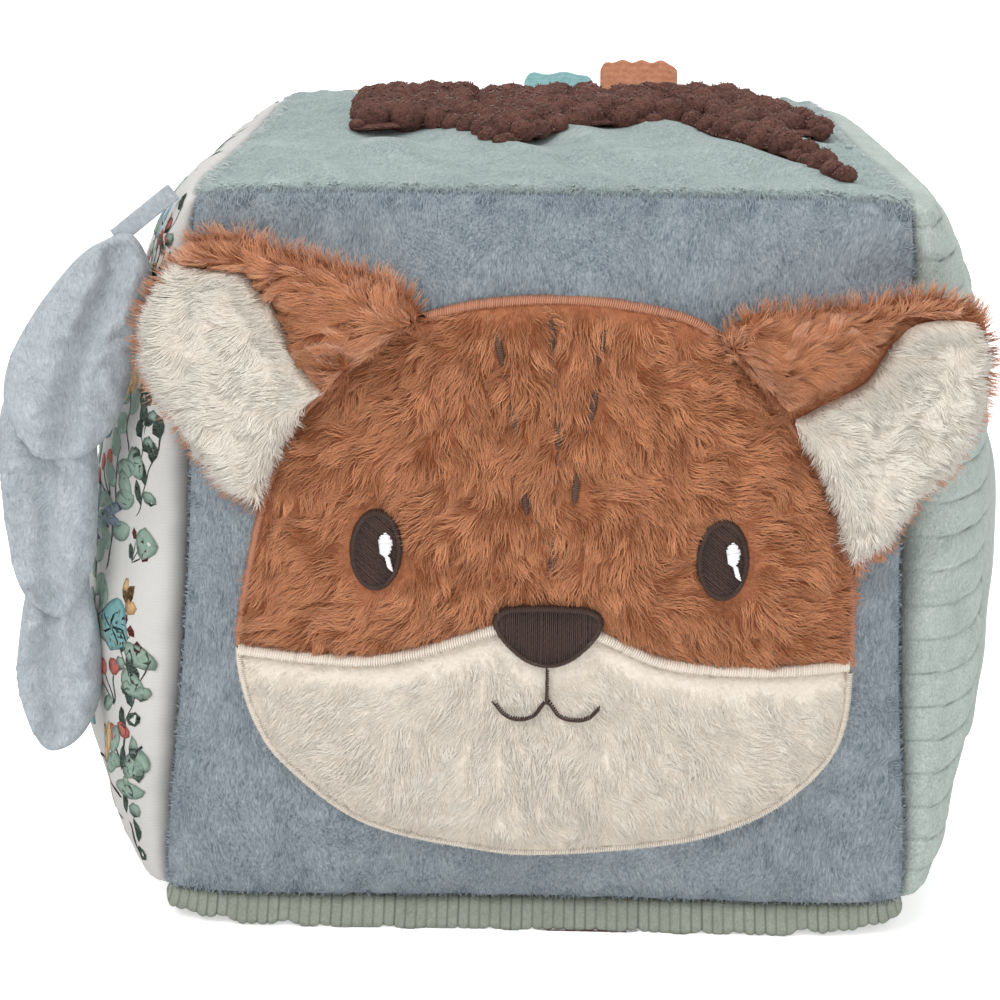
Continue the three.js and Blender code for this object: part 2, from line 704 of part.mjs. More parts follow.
// Bobbled branch on the top, in shares of its own length and depth about the top's middle
const branch_outline_shares = [
  [-0.4, -0.1], [-0.32, -0.09], [-0.24, -0.07], [-0.17, -0.19], [-0.12, -0.29], [-0.07, -0.25],
  [0.04, -0.08], [0.12, -0.02], [0.2, 0.01], [0.27, 0.02], [0.32, -0.12], [0.37, -0.19],
  [0.42, -0.26], [0.47, -0.38], [0.51, -0.49], [0.54, -0.53], [0.56, -0.5], [0.54, -0.39],
  [0.49, -0.25], [0.47, -0.12], [0.5, -0.05], [0.56, -0.04], [0.58, 0.01], [0.54, 0.14],
  [0.48, 0.29], [0.4, 0.42], [0.3, 0.46], [0.18, 0.41], [0, 0.37], [-0.18, 0.36], [-0.32, 0.39],
  [-0.41, 0.36], [-0.42, 0.21], [-0.41, 0.04],
];

function bobbleRise(across, up) {
  const row_pitch = bobble_pitch * Math.cos(Math.PI / 6);
  const wave = Math.cos((2 * Math.PI * across) / bobble_pitch) * Math.cos((Math.PI * up) / row_pitch);
  return bobble_rise * (0.5 + 0.5 * wave);
}

function makeBranch() {
  const steps = 2 * Math.round(cube_side / bobble_pitch);
  const rows = 2 * Math.round(cube_side / (bobble_pitch * Math.cos(Math.PI / 6)));
  const across_grid = evenSteps(steps);
  const up_grid = evenSteps(rows);
  const row_share = rows / (2 * (cube_side / (bobble_pitch * Math.cos(Math.PI / 6))));
  const column_share = steps / (2 * (cube_side / bobble_pitch));
  const outerAt = (i, j) => {
    const rise = bobbleRise(across_grid[i] * half * column_share, up_grid[j] * half * row_share);
    return facePoint(faces.top, across_grid[i], up_grid[j], half, bobble_base + rise);
  };
  const innerAt = (i, j) => facePoint(faces.top, across_grid[i], up_grid[j], half, -cover_thickness);
  const bobbles = toSolid(closedSheet(steps, rows, outerAt, innerAt));
  const highest = bobble_base + 2 * bobble_rise;
  const above_cover = layerSolid(faces.top, fit_gap, highest, panel_grid, panel_grid);
  const outline = scaledOutline(branch_outline_shares, branch_length, branch_depth);
  const branch = bobbles.intersect(above_cover).intersect(
    prismSolid(faces.top, smoothOutline(outline, outline_steps)),
  );
  return makePiece('popcorn_branch', toGeometry(branch), 'popcorn_chenille');
}

// Small brown patch where the underside turns up to the front seam
function makeUnderPatch() {
  const across = patch_width / 2;
  const up = half - patch_inset - patch_depth / 2;
  const layer = layerSolid(faces.bottom, fit_gap, fit_gap + patch_thickness, panel_grid, panel_grid);
  const outline = ellipseOutline(across, up, patch_width, patch_depth, small_steps);
  const patch = layer.intersect(prismSolid(faces.bottom, outline)).intersect(blockSolid(fit_gap, beyond));
  return makePiece('under_patch', toGeometry(patch), 'popcorn_chenille');
}

// Hanging leaf in three tiers, in shares of its length about the hanging point
const leaf_shares = {
  upper: {
    outline: [
      [0.035, -0.08], [0, -0.01], [-0.053, -0.026], [-0.09, -0.05], [-0.135, -0.1], [-0.182, -0.165],
      [-0.222, -0.24], [-0.235, -0.31], [-0.218, -0.365], [-0.183, -0.413], [-0.135, -0.424],
      [-0.09, -0.413], [-0.038, -0.36], [-0.008, -0.276], [0.018, -0.17],
    ],
    centre: [-0.105, -0.23],
  },
  middle: {
    outline: [
      [-0.105, -0.28], [-0.175, -0.272], [-0.23, -0.307], [-0.252, -0.368], [-0.252, -0.49],
      [-0.244, -0.58], [-0.23, -0.66], [-0.2, -0.71], [-0.146, -0.735], [-0.112, -0.69],
      [-0.086, -0.62], [-0.078, -0.54], [-0.075, -0.43], [-0.08, -0.34],
    ],
    centre: [-0.16, -0.5],
  },
  lower: {
    outline: [
      [-0.158, -0.6], [-0.2, -0.63], [-0.22, -0.7], [-0.232, -0.77], [-0.24, -0.85], [-0.228, -0.93],
      [-0.197, -0.995], [-0.162, -1], [-0.122, -0.97], [-0.09, -0.908], [-0.082, -0.833],
      [-0.088, -0.737], [-0.112, -0.65],
    ],
    centre: [-0.16, -0.8],
  },
};

const ribbon_root_shares = [0.93, 0.97];

function leafPillow(label, grow) {
  const shares = leaf_shares[label];
  const scaled = scaledOutline(shares.outline, leaf_length, leaf_length);
  const outline = offsetOutline(smoothOutline(scaled, small_steps + 8), grow);
  const centre = shares.centre.map((share) => share * leaf_length);
  const rise = leaf_swell + grow;
  const rim = leaf_rim / 2 + grow;
  return pillowGeometry(
    outline,
    centre,
    (share) => rim + (rise - rim) * swell(share),
    (share) => -rim - (rise - rim) * swell(share),
    pillow_ring_shares,
  );
}

function makeLeaf() {
  const hanging = new THREE.Group();
  const [along_share, up_share] = ribbon_root_shares;
  const root = facePoint(faces.left, along_share, up_share, half, fit_gap + ribbon_width / 2);
  const slope = THREE.MathUtils.degToRad(ribbon_slope);
  const ribbon_shape = new THREE.Shape();
  const strip_half = ribbon_width / 2;
  ribbon_shape.moveTo(0, -strip_half);
  ribbon_shape.lineTo(0, strip_half);
  ribbon_shape.lineTo(-ribbon_length, strip_half);
  ribbon_shape.lineTo(-ribbon_length, -strip_half);
  const ribbon = new THREE.ExtrudeGeometry(ribbon_shape, { depth: ribbon_thickness, bevelEnabled: false });
  const strip = makePiece('leaf_ribbon', ribbon, 'pale_ribbon');
  strip.rotation.set(Math.PI / 2, 0, slope, 'XYZ');
  hanging.position.copy(root);
  hanging.add(strip);

  const run = ribbon_length + fit_gap;
  const leaf = new THREE.Group();
  leaf.rotation.x = Math.PI / 2;
  leaf.position.set(-run * Math.cos(slope), 0, -run * Math.sin(slope));
  const upper = leafPillow('upper', 0);
  upper.translate(0, 0, leaf_step - leaf_swell);
  const grown_upper = leafPillow('upper', fit_gap);
  grown_upper.translate(0, 0, leaf_step - leaf_swell);
  const lower_back = -leaf_swell / 2;
  const middle = leafPillow('middle', 0);
  middle.translate(0, 0, lower_back);
  const grown_middle = leafPillow('middle', fit_gap);
  grown_middle.translate(0, 0, lower_back);
  const lower = leafPillow('lower', 0);
  lower.translate(0, 0, 2 * lower_back);
  const middle_cut = toSolid(middle).subtract(toSolid(grown_upper));
  const lower_cut = toSolid(lower).subtract(toSolid(grown_middle)).subtract(toSolid(grown_upper));
  leaf.add(makePiece('leaf_upper', upper, 'leaf_plush'));
  leaf.add(makePiece('leaf_middle', toGeometry(middle_cut), 'leaf_plush'));
  leaf.add(makePiece('leaf_lower', toGeometry(lower_cut), 'leaf_plush'));
  hanging.add(leaf);
  return hanging;
}

// Mirror in a soft frame on the right cover, under a flap hinged along its top edge
function roundedRectangle(across, up, width, height, radius) {
  const outline = [];
  const turns = [[1, -1, -0.5], [1, 1, 0], [-1, 1, 0.5], [-1, -1, 1]];
  const corner_steps = 4;
  for (const [side_x, side_y, start] of turns) {
    for (let i = 0; i <= corner_steps; i += 1) {
      const turn = (start + (0.5 * i) / corner_steps) * Math.PI;
      const x = across + side_x * (width / 2 - radius) + radius * Math.cos(turn);
      const y = up + side_y * (height / 2 - radius) + radius * Math.sin(turn);
      outline.push([x, y]);
    }
  }
  return outline;
}

function makeWindow() {
  const right = faces.right;
  const grid = seamwardSteps(2 * panel_steps);
  const low = rib_height + fit_gap;
  const frame_top = low + window_thickness;
  const outer = roundedRectangle(0, -window_drop, window_depth, window_height, window_corner);
  const opening_depth = window_depth - 2 * window_border;
  const opening_height = window_height - 2 * window_border;
  const inner_corner = window_corner / 2;
  const opening = roundedRectangle(0, -window_drop, opening_depth, opening_height, inner_corner);
  const glass = offsetOutline(opening, -fit_gap);
  const flap_depth = window_depth + 2 * flap_overhang;
  const flap_height = window_height + 2 * flap_overhang;
  const cover = roundedRectangle(0, -window_drop, flap_depth, flap_height, window_corner);
  const frame_layer = layerSolid(right, low, frame_top, panel_grid, rib_grid);
  const mirror_layer = layerSolid(right, low, low + mirror_thickness, panel_grid, rib_grid);
  const flap_low = frame_top + fit_gap;
  const flap_layer = layerSolid(right, flap_low, flap_low + flap_thickness, panel_grid, grid);
  const ring = prismSolid(right, outer).subtract(prismSolid(right, opening));
  const mirror = mirror_layer.intersect(prismSolid(right, glass));
  return [
    makePiece('mirror_frame', toGeometry(frame_layer.intersect(ring)), 'mint_plush'),
    makePiece('mirror', toGeometry(mirror), 'mirror_film', 0.08, 0.9),
    makePiece('mirror_flap', toGeometry(flap_layer.intersect(prismSolid(right, cover))), 'mint_corduroy'),
  ];
}

// Folded ribbon tabs standing in the seam between the top and the back
function makeTab(name, width, across, scallops, colour) {
  const shape = new THREE.Shape();
  const crest = tab_height / 12;
  shape.moveTo(-width / 2, 0);
  shape.lineTo(width / 2, 0);
  for (let i = 0; i <= 4 * scallops; i += 1) {
    const share = i / (4 * scallops);
    const wave = crest * Math.sin(share * scallops * 2 * Math.PI);
    shape.lineTo(width / 2 - share * width, tab_height - crest + wave);
  }
  const geometry = new THREE.ExtrudeGeometry(shape, { depth: tab_thickness, bevelEnabled: false });
  geometry.translate(0, tab_gap, -tab_thickness / 2);
  const seam = facePoint(faces.top, across / half, 1, half);
  const tab = makePiece(name, geometry, colour);
  tab.position.copy(seam);
  tab.position.x = across;
  tab.rotation.x = Math.PI / 2 - THREE.MathUtils.degToRad(tab_lean);
  return tab;
}

const cube = new THREE.Group();
cube.add(...makeCovers());
cube.add(...makeCore());
cube.add(makeRattle());
cube.add(...makeFace());
cube.add(makeEar('left'));
cube.add(makeEar('right'));
cube.add(makeBranch());
cube.add(makeUnderPatch());
cube.add(makeLeaf());
cube.add(...makeWindow());
const tab_middle = tab_shift;
cube.add(makeTab('teal_tab', teal_tab_width, tab_middle - tab_gap - teal_tab_width / 2, 2, 'teal_ribbon'));
cube.add(makeTab('rust_tab', rust_tab_width, tab_middle + tab_gap + rust_tab_width / 2, 3, 'rust_ribbon'));

export default cube;
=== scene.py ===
# %% [markdown]
# # A soft activity cube, dressed in fabric
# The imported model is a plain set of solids. It is loaded first and left as it is, and each fabric of the
# real cube is then made as a piece of its own, with its pile, ribs, stitches and stuffing. Everything is in
# metres: X runs to the right, the animal face looks along -Y, and Z is up from the floor.

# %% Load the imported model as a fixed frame
import math
import bmesh
import bpy
import numpy as np
from mathutils import Matrix, Vector
from mathutils.geometry import delaunay_2d_cdt


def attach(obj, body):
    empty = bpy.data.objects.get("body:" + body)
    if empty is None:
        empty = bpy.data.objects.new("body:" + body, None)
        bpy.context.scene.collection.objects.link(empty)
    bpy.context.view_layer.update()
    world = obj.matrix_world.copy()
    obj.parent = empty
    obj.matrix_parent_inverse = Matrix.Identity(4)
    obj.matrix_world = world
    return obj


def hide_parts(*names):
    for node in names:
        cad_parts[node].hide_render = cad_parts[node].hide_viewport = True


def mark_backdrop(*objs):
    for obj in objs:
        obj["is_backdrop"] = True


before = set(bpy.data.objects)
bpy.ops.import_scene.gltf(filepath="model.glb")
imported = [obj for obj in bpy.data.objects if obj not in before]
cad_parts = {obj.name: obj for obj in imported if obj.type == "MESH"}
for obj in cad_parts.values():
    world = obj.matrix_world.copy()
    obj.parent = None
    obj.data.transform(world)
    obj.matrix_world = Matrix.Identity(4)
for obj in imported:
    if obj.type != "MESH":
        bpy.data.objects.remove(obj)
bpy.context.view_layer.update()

# %% [markdown]
# ## Camera
# The photograph looks at the front from 15 degrees above, from about 0.65 m. The cube's middle sits a little
# right of the picture's middle, and the picture leans 1 degree. Each of these is one small turn.

# %% The camera
CENTRE = Vector((0, 0, 0.081))
LENS_SHARE = 2.842
SENSOR_WIDTH, DISTANCE = 36, 0.65
ELEVATION, LEAN = math.radians(15), math.radians(1)
camera = bpy.data.objects.new("camera", bpy.data.cameras.new("camera"))
bpy.context.scene.collection.objects.link(camera)
bpy.context.scene.camera = camera
camera.data.sensor_width = SENSOR_WIDTH
camera.data.lens = SENSOR_WIDTH * LENS_SHARE
camera.data.clip_start = 0.05
away = Vector((0, -math.cos(ELEVATION), math.sin(ELEVATION)))
camera.location = CENTRE + DISTANCE * away
looking = (-away).to_track_quat("-Z", "Y").to_matrix()
lean = Matrix.Rotation(LEAN, 3, "Z")
aim = Vector((0.045, 0.036, -LENS_SHARE)).rotation_difference(Vector((0, 0, -1))).to_matrix()
camera.rotation_euler = (looking @ lean @ aim).to_euler()
print("camera at", [round(c, 3) for c in camera.location])

# %% [markdown]
# ## Floor and light
# A white studio: a plain pale floor that runs up into a backdrop, a bright even world, and four soft lamps.
# The world is white for camera rays, so the background is white without more light on the fabric.

# %% Small helpers that place and wire nodes


def add_node(tree, kind, inputs=None, **settings):
    node = tree.nodes.new(kind)
    for name, value in settings.items():
        setattr(node, name, value)
    for key, value in (inputs or {}).items():
        if isinstance(value, bpy.types.NodeSocket):
            tree.links.new(value, node.inputs[key])
        else:
            node.inputs[key].default_value = value
    return node


def colour(hex_code):
    shares = [int(hex_code[i : i + 2], 16) / 255 for i in (0, 2, 4)]
    linear = [s / 12.92 if s <= 0.04045 else ((s + 0.055) / 1.055) ** 2.4 for s in shares]
    return (*linear, 1.0)


def combine(tree, operation, *values):
    """One Math node on two or three values; a value is a number or a socket."""
    return add_node(tree, "ShaderNodeMath", dict(enumerate(values)), operation=operation).outputs[0]


def seen_directly(tree):
    """1 for camera, glossy and transmission rays, 0 for the rays that light the fabric."""
    path = add_node(tree, "ShaderNodeLightPath")
    both = combine(tree, "MAXIMUM", path.outputs["Is Camera Ray"], path.outputs["Is Glossy Ray"])
    return combine(tree, "MAXIMUM", both, path.outputs["Is Transmission Ray"])


# %% The world, lamps, floor and backdrop
world = bpy.data.worlds.new("studio")
bpy.context.scene.world = world
world.use_nodes = True
sky = world.node_tree
sky.nodes.clear()
WORLD_STRENGTH = 0.56
strength = combine(sky, "MULTIPLY_ADD", seen_directly(sky), 1 - WORLD_STRENGTH, WORLD_STRENGTH)
background = add_node(sky, "ShaderNodeBackground", {"Color": (1, 1, 1, 1), "Strength": strength})
add_node(sky, "ShaderNodeOutputWorld", {"Surface": background.outputs[0]})


def area_lamp(name, location, size, watts):
    data = bpy.data.lights.new(name, "AREA")
    data.shape = "SQUARE"
    data.size = size
    data.energy = watts
    lamp = bpy.data.objects.new(name, data)
    lamp.location = location
    direction = CENTRE - Vector(location)
    lamp.rotation_euler = direction.to_track_quat("-Z", "Y").to_euler()
    bpy.context.scene.collection.objects.link(lamp)


area_lamp("key_lamp", (-0.75, -0.95, 1.25), 0.8, 10.5)
area_lamp("fill_lamp", (0.9, -1.1, 0.7), 1.2, 4.5)
area_lamp("top_lamp", (0.1, 0.25, 1.5), 0.9, 8.0)
area_lamp("floor_bounce", (0.0, -0.62, 0.02), 0.4, 0.5)


def sweep_floor():
    """A floor with a curve up into a backdrop, as one open sheet of paper."""
    profile = [(-3.0, 0.0), (1.2, 0.0)]
    profile += [(1.2 + 0.5 * math.sin(t), 0.5 - 0.5 * math.cos(t)) for t in np.linspace(0.2, math.pi / 2, 8)]
    profile += [(1.7, 3.0)]
    points = [(x, y, z) for y, z in profile for x in (-3.5, 3.5)]
    faces = [(2 * i, 2 * i + 1, 2 * i + 3, 2 * i + 2) for i in range(len(profile) - 1)]
    mesh = bpy.data.meshes.new("studio_floor")
    mesh.from_pydata(points, [], faces)
    mesh.polygons.foreach_set("use_smooth", [True] * len(faces))
    piece = bpy.data.objects.new("studio_floor", mesh)
    bpy.context.scene.collection.objects.link(piece)
    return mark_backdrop(piece) or piece


def floor_paper():
    """White paper: it shows its own shadows, and a little glow for camera rays lifts it to white."""
    paper = bpy.data.materials.new("floor_paper")
    paper.use_nodes = True
    tree = paper.node_tree
    tree.nodes.clear()
    grain = add_node(tree, "ShaderNodeTexNoise", {"Scale": 40.0, "Detail": 2.0})
    tone = add_node(tree, "ShaderNodeMapRange", {"Value": grain.outputs[0], 3: 0.93, 4: 0.95})
    matt = add_node(tree, "ShaderNodeBsdfDiffuse", {"Color": tone.outputs[0]})
    glow = add_node(tree, "ShaderNodeEmission", {"Color": (1, 1, 1, 1)})
    tree.links.new(combine(tree, "MULTIPLY", seen_directly(tree), 0.5), glow.inputs["Strength"])
    both = add_node(tree, "ShaderNodeAddShader", {0: matt.outputs[0], 1: glow.outputs[0]})
    add_node(tree, "ShaderNodeOutputMaterial", {"Surface": both.outputs[0]})
    return paper


floor = sweep_floor()
floor.data.materials.append(floor_paper())
bpy.context.scene.view_settings.view_transform = "Standard"
print("studio ready")

# %% [markdown]
# ## The form that every cover shares
# A stuffed cube isn't flat anywhere. Each panel crowns in the middle, the seams bow inwards between the
# corners, the corners pull in, and the lower half spreads under its own weight. One rule gives a point of
# any panel from its two shares u and v, from -1 to 1, and a rise off the fabric. It is the same rule that
# the solids were made with, so every appliqué that uses it lies on its cover.

# %% The rule of the stuffed cube
HALF = 0.075
MIDDLE = CENTRE.z
SEAM_BOW, LEVEL_BOW, CORNER_PULL, SAG_SPREAD = 0.003, 0.0005, 0.002, 0.003
CORNER_SHARPNESS, BOW_SHARPNESS = 8, 6
FRONT_SPREAD, FRONT_LEAN, BACK_NARROWING, ROLL_REACH = 0.0014, 0.0008, 0.095, 0.0024
SOFT, BOXY, FLAT = 0.6, 0.45, 0.25
X_AXIS, Y_AXIS, Z_AXIS = np.eye(3)


class Panel:
    """One side: where it faces, its two directions, how far it crowns and rolls over its seams."""

    def __init__(self, normal, across, up, bulge, lift=0.0, power=SOFT, roll=0.0):
        self.normal, self.across, self.up = normal, across, up
        self.bulge, self.lift, self.power, self.roll = bulge, lift, power, roll


FRONT = Panel(-Y_AXIS, X_AXIS, Z_AXIS, 0.008)
BACK = Panel(Y_AXIS, -X_AXIS, Z_AXIS, 0.010, roll=0.0030)
LEFT = Panel(-X_AXIS, -Y_AXIS, Z_AXIS, 0.025, -0.25, BOXY)
RIGHT = Panel(X_AXIS, Y_AXIS, Z_AXIS, 0.021, 0.1, BOXY)
TOP = Panel(Z_AXIS, X_AXIS, Y_AXIS, 0.003)
BOTTOM = Panel(-Z_AXIS, X_AXIS, -Y_AXIS, 0.012, 0.0, FLAT, 0.0036)


def drawn_in(own, other, third, seam_draw):
    corner = CORNER_PULL * np.abs(own * other * third) ** CORNER_SHARPNESS
    bow_other = np.abs(other) ** BOW_SHARPNESS * (1 - third * third)
    bow_third = np.abs(third) ** BOW_SHARPNESS * (1 - other * other)
    return np.sign(own) * (corner + seam_draw * np.abs(own) ** BOW_SHARPNESS * (bow_other + bow_third))


def panel_points(panel, u, v, rise=0.0, reach=HALF, round_edge=0.0, share=1.0):
    """Points of a panel. round_edge is the radius that its border turns over with towards the seam.
    A share under 1 gives the cover's inner skin, which doesn't roll over the seams."""
    u, v = np.atleast_1d(np.asarray(u, float)), np.atleast_1d(np.asarray(v, float))
    rise = np.broadcast_to(np.asarray(rise, float), u.shape)[:, None]
    unit = panel.normal + np.outer(u * share, panel.across) + np.outer(v * share, panel.up)
    place = unit * reach
    x, y, z = unit.T
    drawn = (drawn_in(x, y, z, SEAM_BOW), drawn_in(y, x, z, SEAM_BOW), drawn_in(z, x, y, LEVEL_BOW))
    place -= np.stack(drawn, 1)
    shifted = (v - panel.lift) / (1 - panel.lift * v)
    crown = np.clip((1 - u * u) * (1 - shifted * shifted), 0, 1) ** panel.power
    place += panel.normal * (panel.bulge * crown)[:, None] + panel.normal * rise
    if round_edge:
        for shares, axis in ((u, panel.across), (v, panel.up)):
            near = np.clip(1 - (1 - np.abs(shares)) * reach / round_edge, 0, 1) ** 2
            turn = 0.29 * round_edge * near
            place -= panel.normal * turn[:, None] + axis * (np.sign(shares) * turn)[:, None]
    spread = 1 - SAG_SPREAD * place[:, 2] / HALF**2
    place[:, 0] *= spread
    place[:, 1] *= spread
    if panel.roll and share == 1:
        for shares, other, axis in ((u, v, panel.across), (v, u, panel.up)):
            near = (1 - np.abs(shares)) * reach / ROLL_REACH
            push = panel.roll * near * np.exp(1 - near) * (1 - np.abs(other) ** 6)
            place += np.outer(np.sign(shares) * push, axis)
    nearness = np.clip((HALF - place[:, 1]) / (2 * HALF), 0, 1)
    narrowing = BACK_NARROWING * np.clip(place[:, 2] / HALF, 0, 1) ** 2
    place[:, 0] *= 1 - narrowing * (1 - nearness)
    place[:, 0] += nearness * (FRONT_SPREAD * place[:, 0] + FRONT_LEAN * place[:, 2]) / HALF
    place[:, 2] = np.maximum(place[:, 2] + MIDDLE, 0.0)
    return place


front_middle = panel_points(FRONT, 0, 0)[0]

# %% [markdown]
# ## Tools for meshes
# Small tools are used all over: they turn points and faces into a smooth piece, draw smooth lines through a
# few hand-set points, and tell how far points lie inside an outline. They are made with arrays, because a
# cover has tens of thousands of points.

# %% Pieces from points and faces


def make_piece(name, points, faces, finish):
    mesh = bpy.data.meshes.new(name)
    mesh.from_pydata(np.asarray(points).tolist(), [], [tuple(map(int, f)) for f in faces])
    mesh.polygons.foreach_set("use_smooth", [True] * len(mesh.polygons))
    mesh.update()
    mesh.materials.append(finish)
    piece = bpy.data.objects.new(name, mesh)
    bpy.context.scene.collection.objects.link(piece)
    return piece


def store(piece, name, values, kind="FLOAT"):
    """Keeps one number or one direction for each point of a piece, for its nodes to read."""
    values = np.asarray(values, np.float32)
    attribute = piece.data.attributes.new(name, kind, "POINT")
    attribute.data.foreach_set("vector" if kind == "FLOAT_VECTOR" else "value", values.ravel())


def grid_faces(columns, rows, start=0, flip=False):
    i, j = np.meshgrid(np.arange(columns - 1), np.arange(rows - 1), indexing="ij")
    a = (start + i * rows + j).ravel()
    quads = np.stack([a, a + rows, a + rows + 1, a + 1], 1)
    return quads[:, ::-1] if flip else quads


def border_of_grid(columns, rows):
    """The indices of a grid's border points, once round."""
    ring = [i * rows for i in range(columns - 1)] + [(columns - 1) * rows + j for j in range(rows - 1)]
    return ring + [i * rows + rows - 1 for i in range(columns - 1, 0, -1)] + list(range(rows - 1, 0, -1))


def curve_between(a, b, c, d, f):
    """Points at the shares f from b to c, on a smooth curve through a, b, c and d."""
    curve = 2 * b + (c - a) * f + (2 * a - 5 * b + 4 * c - d) * f**2 + (3 * b - a - 3 * c + d) * f**3
    return curve / 2


def smooth_closed(points, steps):
    """A closed curve through the points, as steps points."""
    p = np.asarray(points, float)
    n = len(p)
    t = np.linspace(0, n, steps, endpoint=False)
    i = t.astype(int)
    return curve_between(*(p[(i + k) % n] for k in (-1, 0, 1, 2)), (t - i)[:, None])


def smooth_open(points, steps):
    """An open curve through the points, with steps points."""
    p = np.asarray(points, float)
    p = np.vstack([2 * p[0] - p[1], p, 2 * p[-1] - p[-2]])
    t = np.linspace(0, len(p) - 3, steps)
    i = np.minimum(t.astype(int), len(p) - 4)
    return curve_between(*(p[i + k] for k in range(4)), (t - i)[:, None])


def inside(outline, points):
    """True for each point that lies inside the closed outline."""
    x, y = points[:, 0][:, None], points[:, 1][:, None]
    x0, y0 = outline.T
    x1, y1 = np.roll(outline, -1, 0).T
    crosses = (y0 > y) != (y1 > y)
    with np.errstate(divide="ignore", invalid="ignore"):
        at = (x1 - x0) * (y - y0) / (y1 - y0) + x0
    return (crosses & (x < at)).sum(1) % 2 == 1


def line_distance(line, points, closed=True):
    """How far each point is from a line of points."""
    a = line if closed else line[:-1]
    b = np.roll(line, -1, 0) if closed else line[1:]
    best = np.full(len(points), 1e9)
    for start, end in zip(a, b):
        run = end - start
        t = np.clip(((points - start) @ run) / max(run @ run, 1e-18), 0, 1)
        gap = points - start - t[:, None] * run
        best = np.minimum(best, (gap * gap).sum(1))
    return np.sqrt(best)


def spaced(line, pitch, closed=True):
    """The line again, with points an even pitch apart."""
    line = np.vstack([line, line[:1]]) if closed else line
    steps = np.linalg.norm(np.diff(line, axis=0), axis=1)
    run = np.concatenate([[0], np.cumsum(steps)])
    count = max(int(round(run[-1] / pitch)), 3)
    at = np.linspace(0, run[-1], count, endpoint=not closed)
    return np.stack([np.interp(at, run, line[:, k]) for k in range(line.shape[1])], 1)


def gentle_waves(points, wavelength, seed, count=9):
    """A soft unrepeating ripple of about -1 to 1, from a few waves in all directions."""
    dice = np.random.default_rng(seed)
    total = np.zeros(len(points))
    for _ in range(count):
        way = dice.normal(size=points.shape[1])
        way *= 2 * math.pi / (wavelength * dice.uniform(0.7, 1.5) * np.linalg.norm(way))
        total += np.sin(points @ way + dice.uniform(0, 2 * math.pi))
    return total / math.sqrt(count)


print("mesh tools ready")

# %% [markdown]
# ## Finishes that several fabrics share
# Short pile, a woven ground and twisted thread are each a shader node group with named inputs, built once
# and placed in the materials with their own colours and sizes. A group puts out a colour and a normal.
# The Principled shader stays in each material, with its sheen set on its own socket.

# %% Build a shader group


def start_group(name, inputs, outputs):
    tree = bpy.data.node_groups.new(name, "ShaderNodeTree")
    for socket, kind, value in inputs:
        made = tree.interface.new_socket(socket, in_out="INPUT", socket_type="NodeSocket" + kind)
        if value is not None:
            made.default_value = value
    for socket, kind in outputs:
        tree.interface.new_socket(socket, in_out="OUTPUT", socket_type="NodeSocket" + kind)
    given = add_node(tree, "NodeGroupInput").outputs
    result = add_node(tree, "NodeGroupOutput")
    return tree, given, result


def mixed(tree, share, dark, light):
    """A colour between two, by share."""
    return add_node(tree, "ShaderNodeMix", {0: share, 6: dark, 7: light}, data_type="RGBA").outputs[2]


def vector_of(tree, operation, *values):
    return add_node(tree, "ShaderNodeVectorMath", dict(enumerate(values)), operation=operation).outputs[0]


def scaled(tree, vector, size):
    return add_node(tree, "ShaderNodeVectorMath", {0: vector, "Scale": size}, operation="SCALE").outputs[0]


def noise(tree, vector, scale=1.0, detail=2.0, rough=0.5, distortion=0.0):
    values = {"Vector": vector, "Scale": scale, "Detail": detail, "Roughness": rough}
    values["Distortion"] = distortion
    return add_node(tree, "ShaderNodeTexNoise", values).outputs[0]


def about_zero(tree, value, size):
    """A value of 0 to 1 as one of half the size below zero to half the size above."""
    return combine(tree, "MULTIPLY", combine(tree, "SUBTRACT", value, 0.5), size)


def clamped(tree, value):
    return add_node(tree, "ShaderNodeClamp", {"Value": value}).outputs[0]


def emboss(tree, height, distance, strength, target):
    """Gives a normal socket the relief of a height."""
    values = {"Height": height, "Distance": distance, "Strength": strength}
    tree.links.new(add_node(tree, "ShaderNodeBump", values).outputs[0], target)


# %% Short pile: streaks of nap and brushed patches, as painted shade against the colour of the tips
short_pile, given, result = start_group(
    "short_pile",
    [
        ("Vector", "Vector", None),
        ("Shadow", "Color", (0.2, 0.2, 0.2, 1)),
        ("Tip", "Color", (0.6, 0.6, 0.6, 1)),
        ("Nap Scale", "Vector", (1500.0, 1500.0, 350.0)),
        ("Patch Scale", "Float", 60.0),
        ("Patch Share", "Float", 0.5),
        ("Depth", "Float", 0.0004),
    ],
    [("Color", "Color"), ("Normal", "Vector")],
)
tree = short_pile
sway = combine(tree, "MULTIPLY_ADD", noise(tree, given["Vector"], 42.0, 1.0), 0.016, -0.008)
brushed = vector_of(tree, "ADD", given["Vector"], scaled(tree, (1.0, 1.0, 0.3), sway))
nap_place = vector_of(tree, "MULTIPLY", brushed, given["Nap Scale"])
warp = noise(tree, given["Vector"], 160.0, 1.0)
nap = noise(tree, nap_place, 1.0, 3.0, 0.6, 0.7)
locks = noise(tree, nap_place, 0.36, 2.0, 0.5, 0.8)
patches = noise(tree, given["Vector"], given["Patch Scale"], 2.0, 0.5, 0.5)
fine = combine(tree, "MULTIPLY_ADD", nap, 0.74, combine(tree, "MULTIPLY", locks, 0.26))
total = combine(tree, "ADD", about_zero(tree, fine, 2.1), about_zero(tree, patches, given["Patch Share"]))
total = combine(tree, "ADD", total, about_zero(tree, warp, 0.4))
share = clamped(tree, combine(tree, "ADD", total, 0.5))
# Painted shade: the Shadow colour stands for the shade between the fibres, mixed in by the nap streaks and
# patches
tree.links.new(mixed(tree, share, given["Shadow"], given["Tip"]), result.inputs["Color"])
emboss(tree, fine, given["Depth"], 0.9, result.inputs["Normal"])

